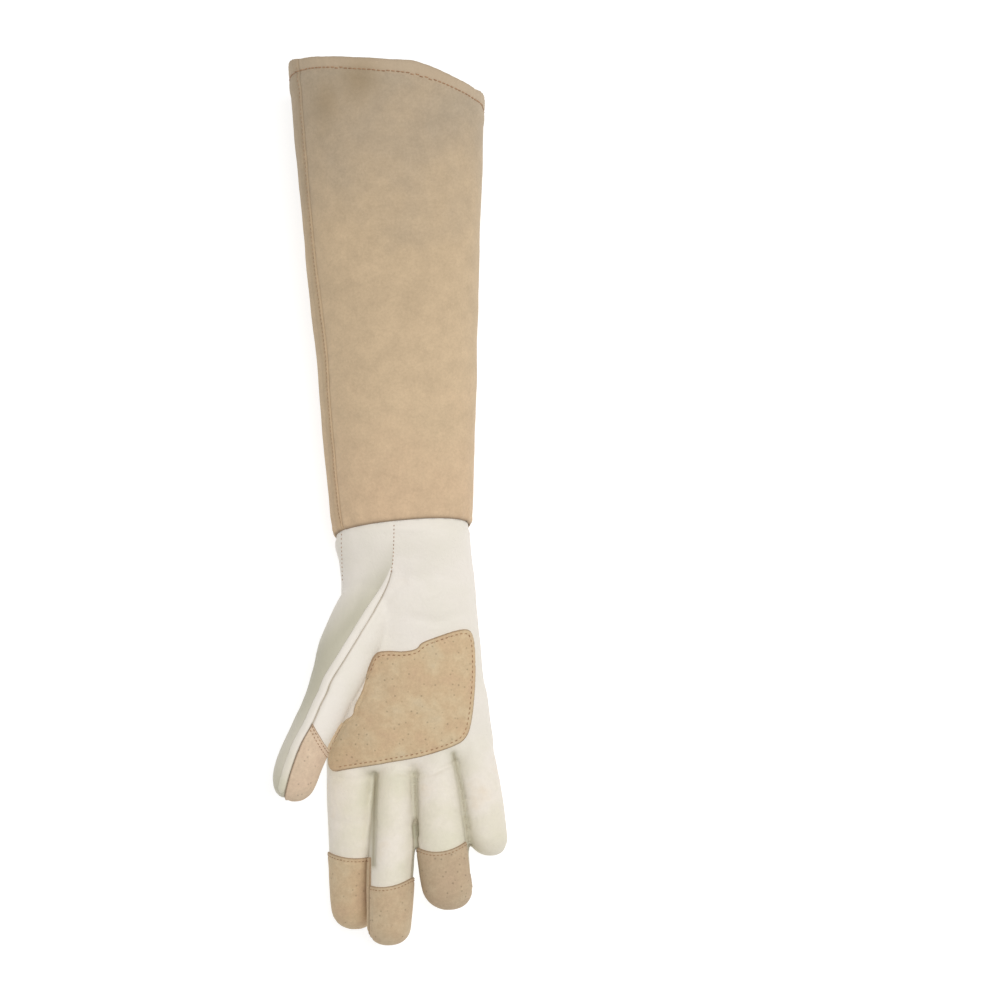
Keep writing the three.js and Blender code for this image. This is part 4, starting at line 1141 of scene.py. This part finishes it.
for name, (middle, half, level, slope, bow, tone) in TIPS.items():
    field, past = finger_edge(name, hand_points, middle, half, level, slope, bow)
    top, faces, from_edge = sewn_on(f"suede_{name}_tip", field, tone, TIP_LINE)
    past = finger_edge(name, top, middle, half, level, slope, bow)[1]
    for chain in contours(top, faces, past, TIP_LINE):
        sewing.append(stitches(surface(top, faces), chain[2:-2], 2.2, 1.5, 0.22, 0.0))
corner, end = np.array([-50.4, -108.2]), np.array([-30.0, -144.5])  # the thumb's suede ends on a slanting line
across = np.array([(end - corner)[1], -(end - corner)[0]]) / np.linalg.norm(end - corner)
past_diagonal = (hand_points[:, :2] - corner) @ across
x, y, z = hand_points[:, :3].T
thumb_field = np.min([past_diagonal, x - seam(y, WELT), z - 37.5, -100 - y, -38 - x], 0)
top, faces, from_edge = sewn_on("suede_thumb_tip", thumb_field, -0.45, TIP_LINE)
past = (top[:, :2] - corner) @ across
for level in (1.0, 2.8):
    for chain in contours(top, faces, past, level):
        sewing.append(stitches(surface(top, faces), chain[2:-2], 2.2, 1.5, 0.22, 0.0))
piece("suede_stitching", *together(sewing), thread, "patch_suede")

# The stitching that shows on the goatskin: two short rows down from the wrist, and the zigzag that holds the
# elastic across the back.
ys = np.linspace(2, -26, 20)
wing_row = seen_from(True, np.stack([seam(ys, WELT), ys], -1))[0]
ys = np.linspace(-2, -30, 20)
side_row = seen_from(True, np.stack([0 * ys - 33.6, ys], -1))[0]
corners = np.array([(-29 + GATHER_PITCH / 2 * i, ELASTIC + (4.5 if i % 2 else -4.5)) for i in range(11)])
zigzag = np.concatenate([np.linspace(a, b, 6)[:-1] for a, b in zip(corners[:-1], corners[1:])])
seams = [
    stitches(skin_tree, wing_row, 2.2, 1.3, 0.22, 0.0), stitches(skin_tree, side_row, 2.6, 1.4, 0.17, 0.0),
    stitches(skin_tree, seen_from(False, zigzag)[0], 2.2, 1.7, 0.28, 0.05),
]
piece("hand_stitching", *together(seams), thread, "grain_leather")

# The studio: a white acrylic table lit from below as well, so that it shows as white with hardly a shadow,
# soft light all round, and one large soft light overhead. The camera looks down steeply, 6 degrees off
# straight down and from the fingers' side. Its picture leaves room beside the glove for the pair's other one.
floor_mesh = bpy.data.meshes.new("floor")
floor_corners = [(4 * x, 4 * y, -0.0002) for x, y in ((-1, -1), (1, -1), (1, 1), (-1, 1))]  # in metres
floor_mesh.from_pydata(floor_corners, [], [(0, 1, 2, 3)])
floor = bpy.data.objects.new("floor", floor_mesh)
bpy.context.collection.objects.link(floor)
table = bpy.data.materials.new("lit white acrylic")
table.use_nodes = True
tree = table.node_tree
tree.nodes.clear()
grain = add(tree, "ShaderNodeTexNoise", {"Scale": 3.0})
tint = add(tree, "ShaderNodeValToRGB", {"Fac": grain.outputs["Fac"]})
tint.color_ramp.elements[0].color = linear("#b4b4b4")
tint.color_ramp.elements[1].color = linear("#b8b8b8")
shader = add(tree, "ShaderNodeBsdfPrincipled", {
    "Base Color": tint.outputs["Color"], "Roughness": 0.9, "Specular IOR Level": 0.1,
    "Emission Color": (1, 1, 1, 1), "Emission Strength": 0.72,
})
add(tree, "ShaderNodeOutputMaterial", {"Surface": shader.outputs["BSDF"]})
floor_mesh.materials.append(table)

world = bpy.data.worlds.new("studio")
world.use_nodes = True
world.node_tree.nodes["Background"].inputs["Color"].default_value = (1.0, 0.985, 0.955, 1)
world.node_tree.nodes["Background"].inputs["Strength"].default_value = 0.46
bpy.context.scene.world = world
lamp = bpy.data.lights.new("key", "AREA")
lamp.energy, lamp.size = 12.2, 0.9
key = bpy.data.objects.new("key", lamp)
key.location = (0.4, 0.15, 1.38)
key.rotation_euler = (Vector((0, 0, 0.03)) - key.location).to_track_quat("-Z", "Y").to_euler()
bpy.context.collection.objects.link(key)

camera = bpy.data.objects.new("camera", bpy.data.cameras.new("camera"))
CAMERA_AWAY, CAMERA_ABOVE = 1.3, 84  # metres, and degrees over the table
camera.data.lens, camera.data.sensor_width = 80.06, 36.0
camera.data.clip_start, camera.data.clip_end = 0.05, 10
aim = Vector(((58.7 + SHIFT[0]) / 1000, (17.2 + SHIFT[1]) / 1000, 0.032))
tilt = math.radians(CAMERA_ABOVE)
back = Vector((0, -math.cos(tilt), math.sin(tilt)))
camera.location = aim + back * CAMERA_AWAY
camera.rotation_mode = "QUATERNION"
camera.rotation_quaternion = (-back).to_track_quat("-Z", "Y")
bpy.context.collection.objects.link(camera)
bpy.context.scene.camera = camera
bpy.context.scene.view_settings.view_transform = "Standard"
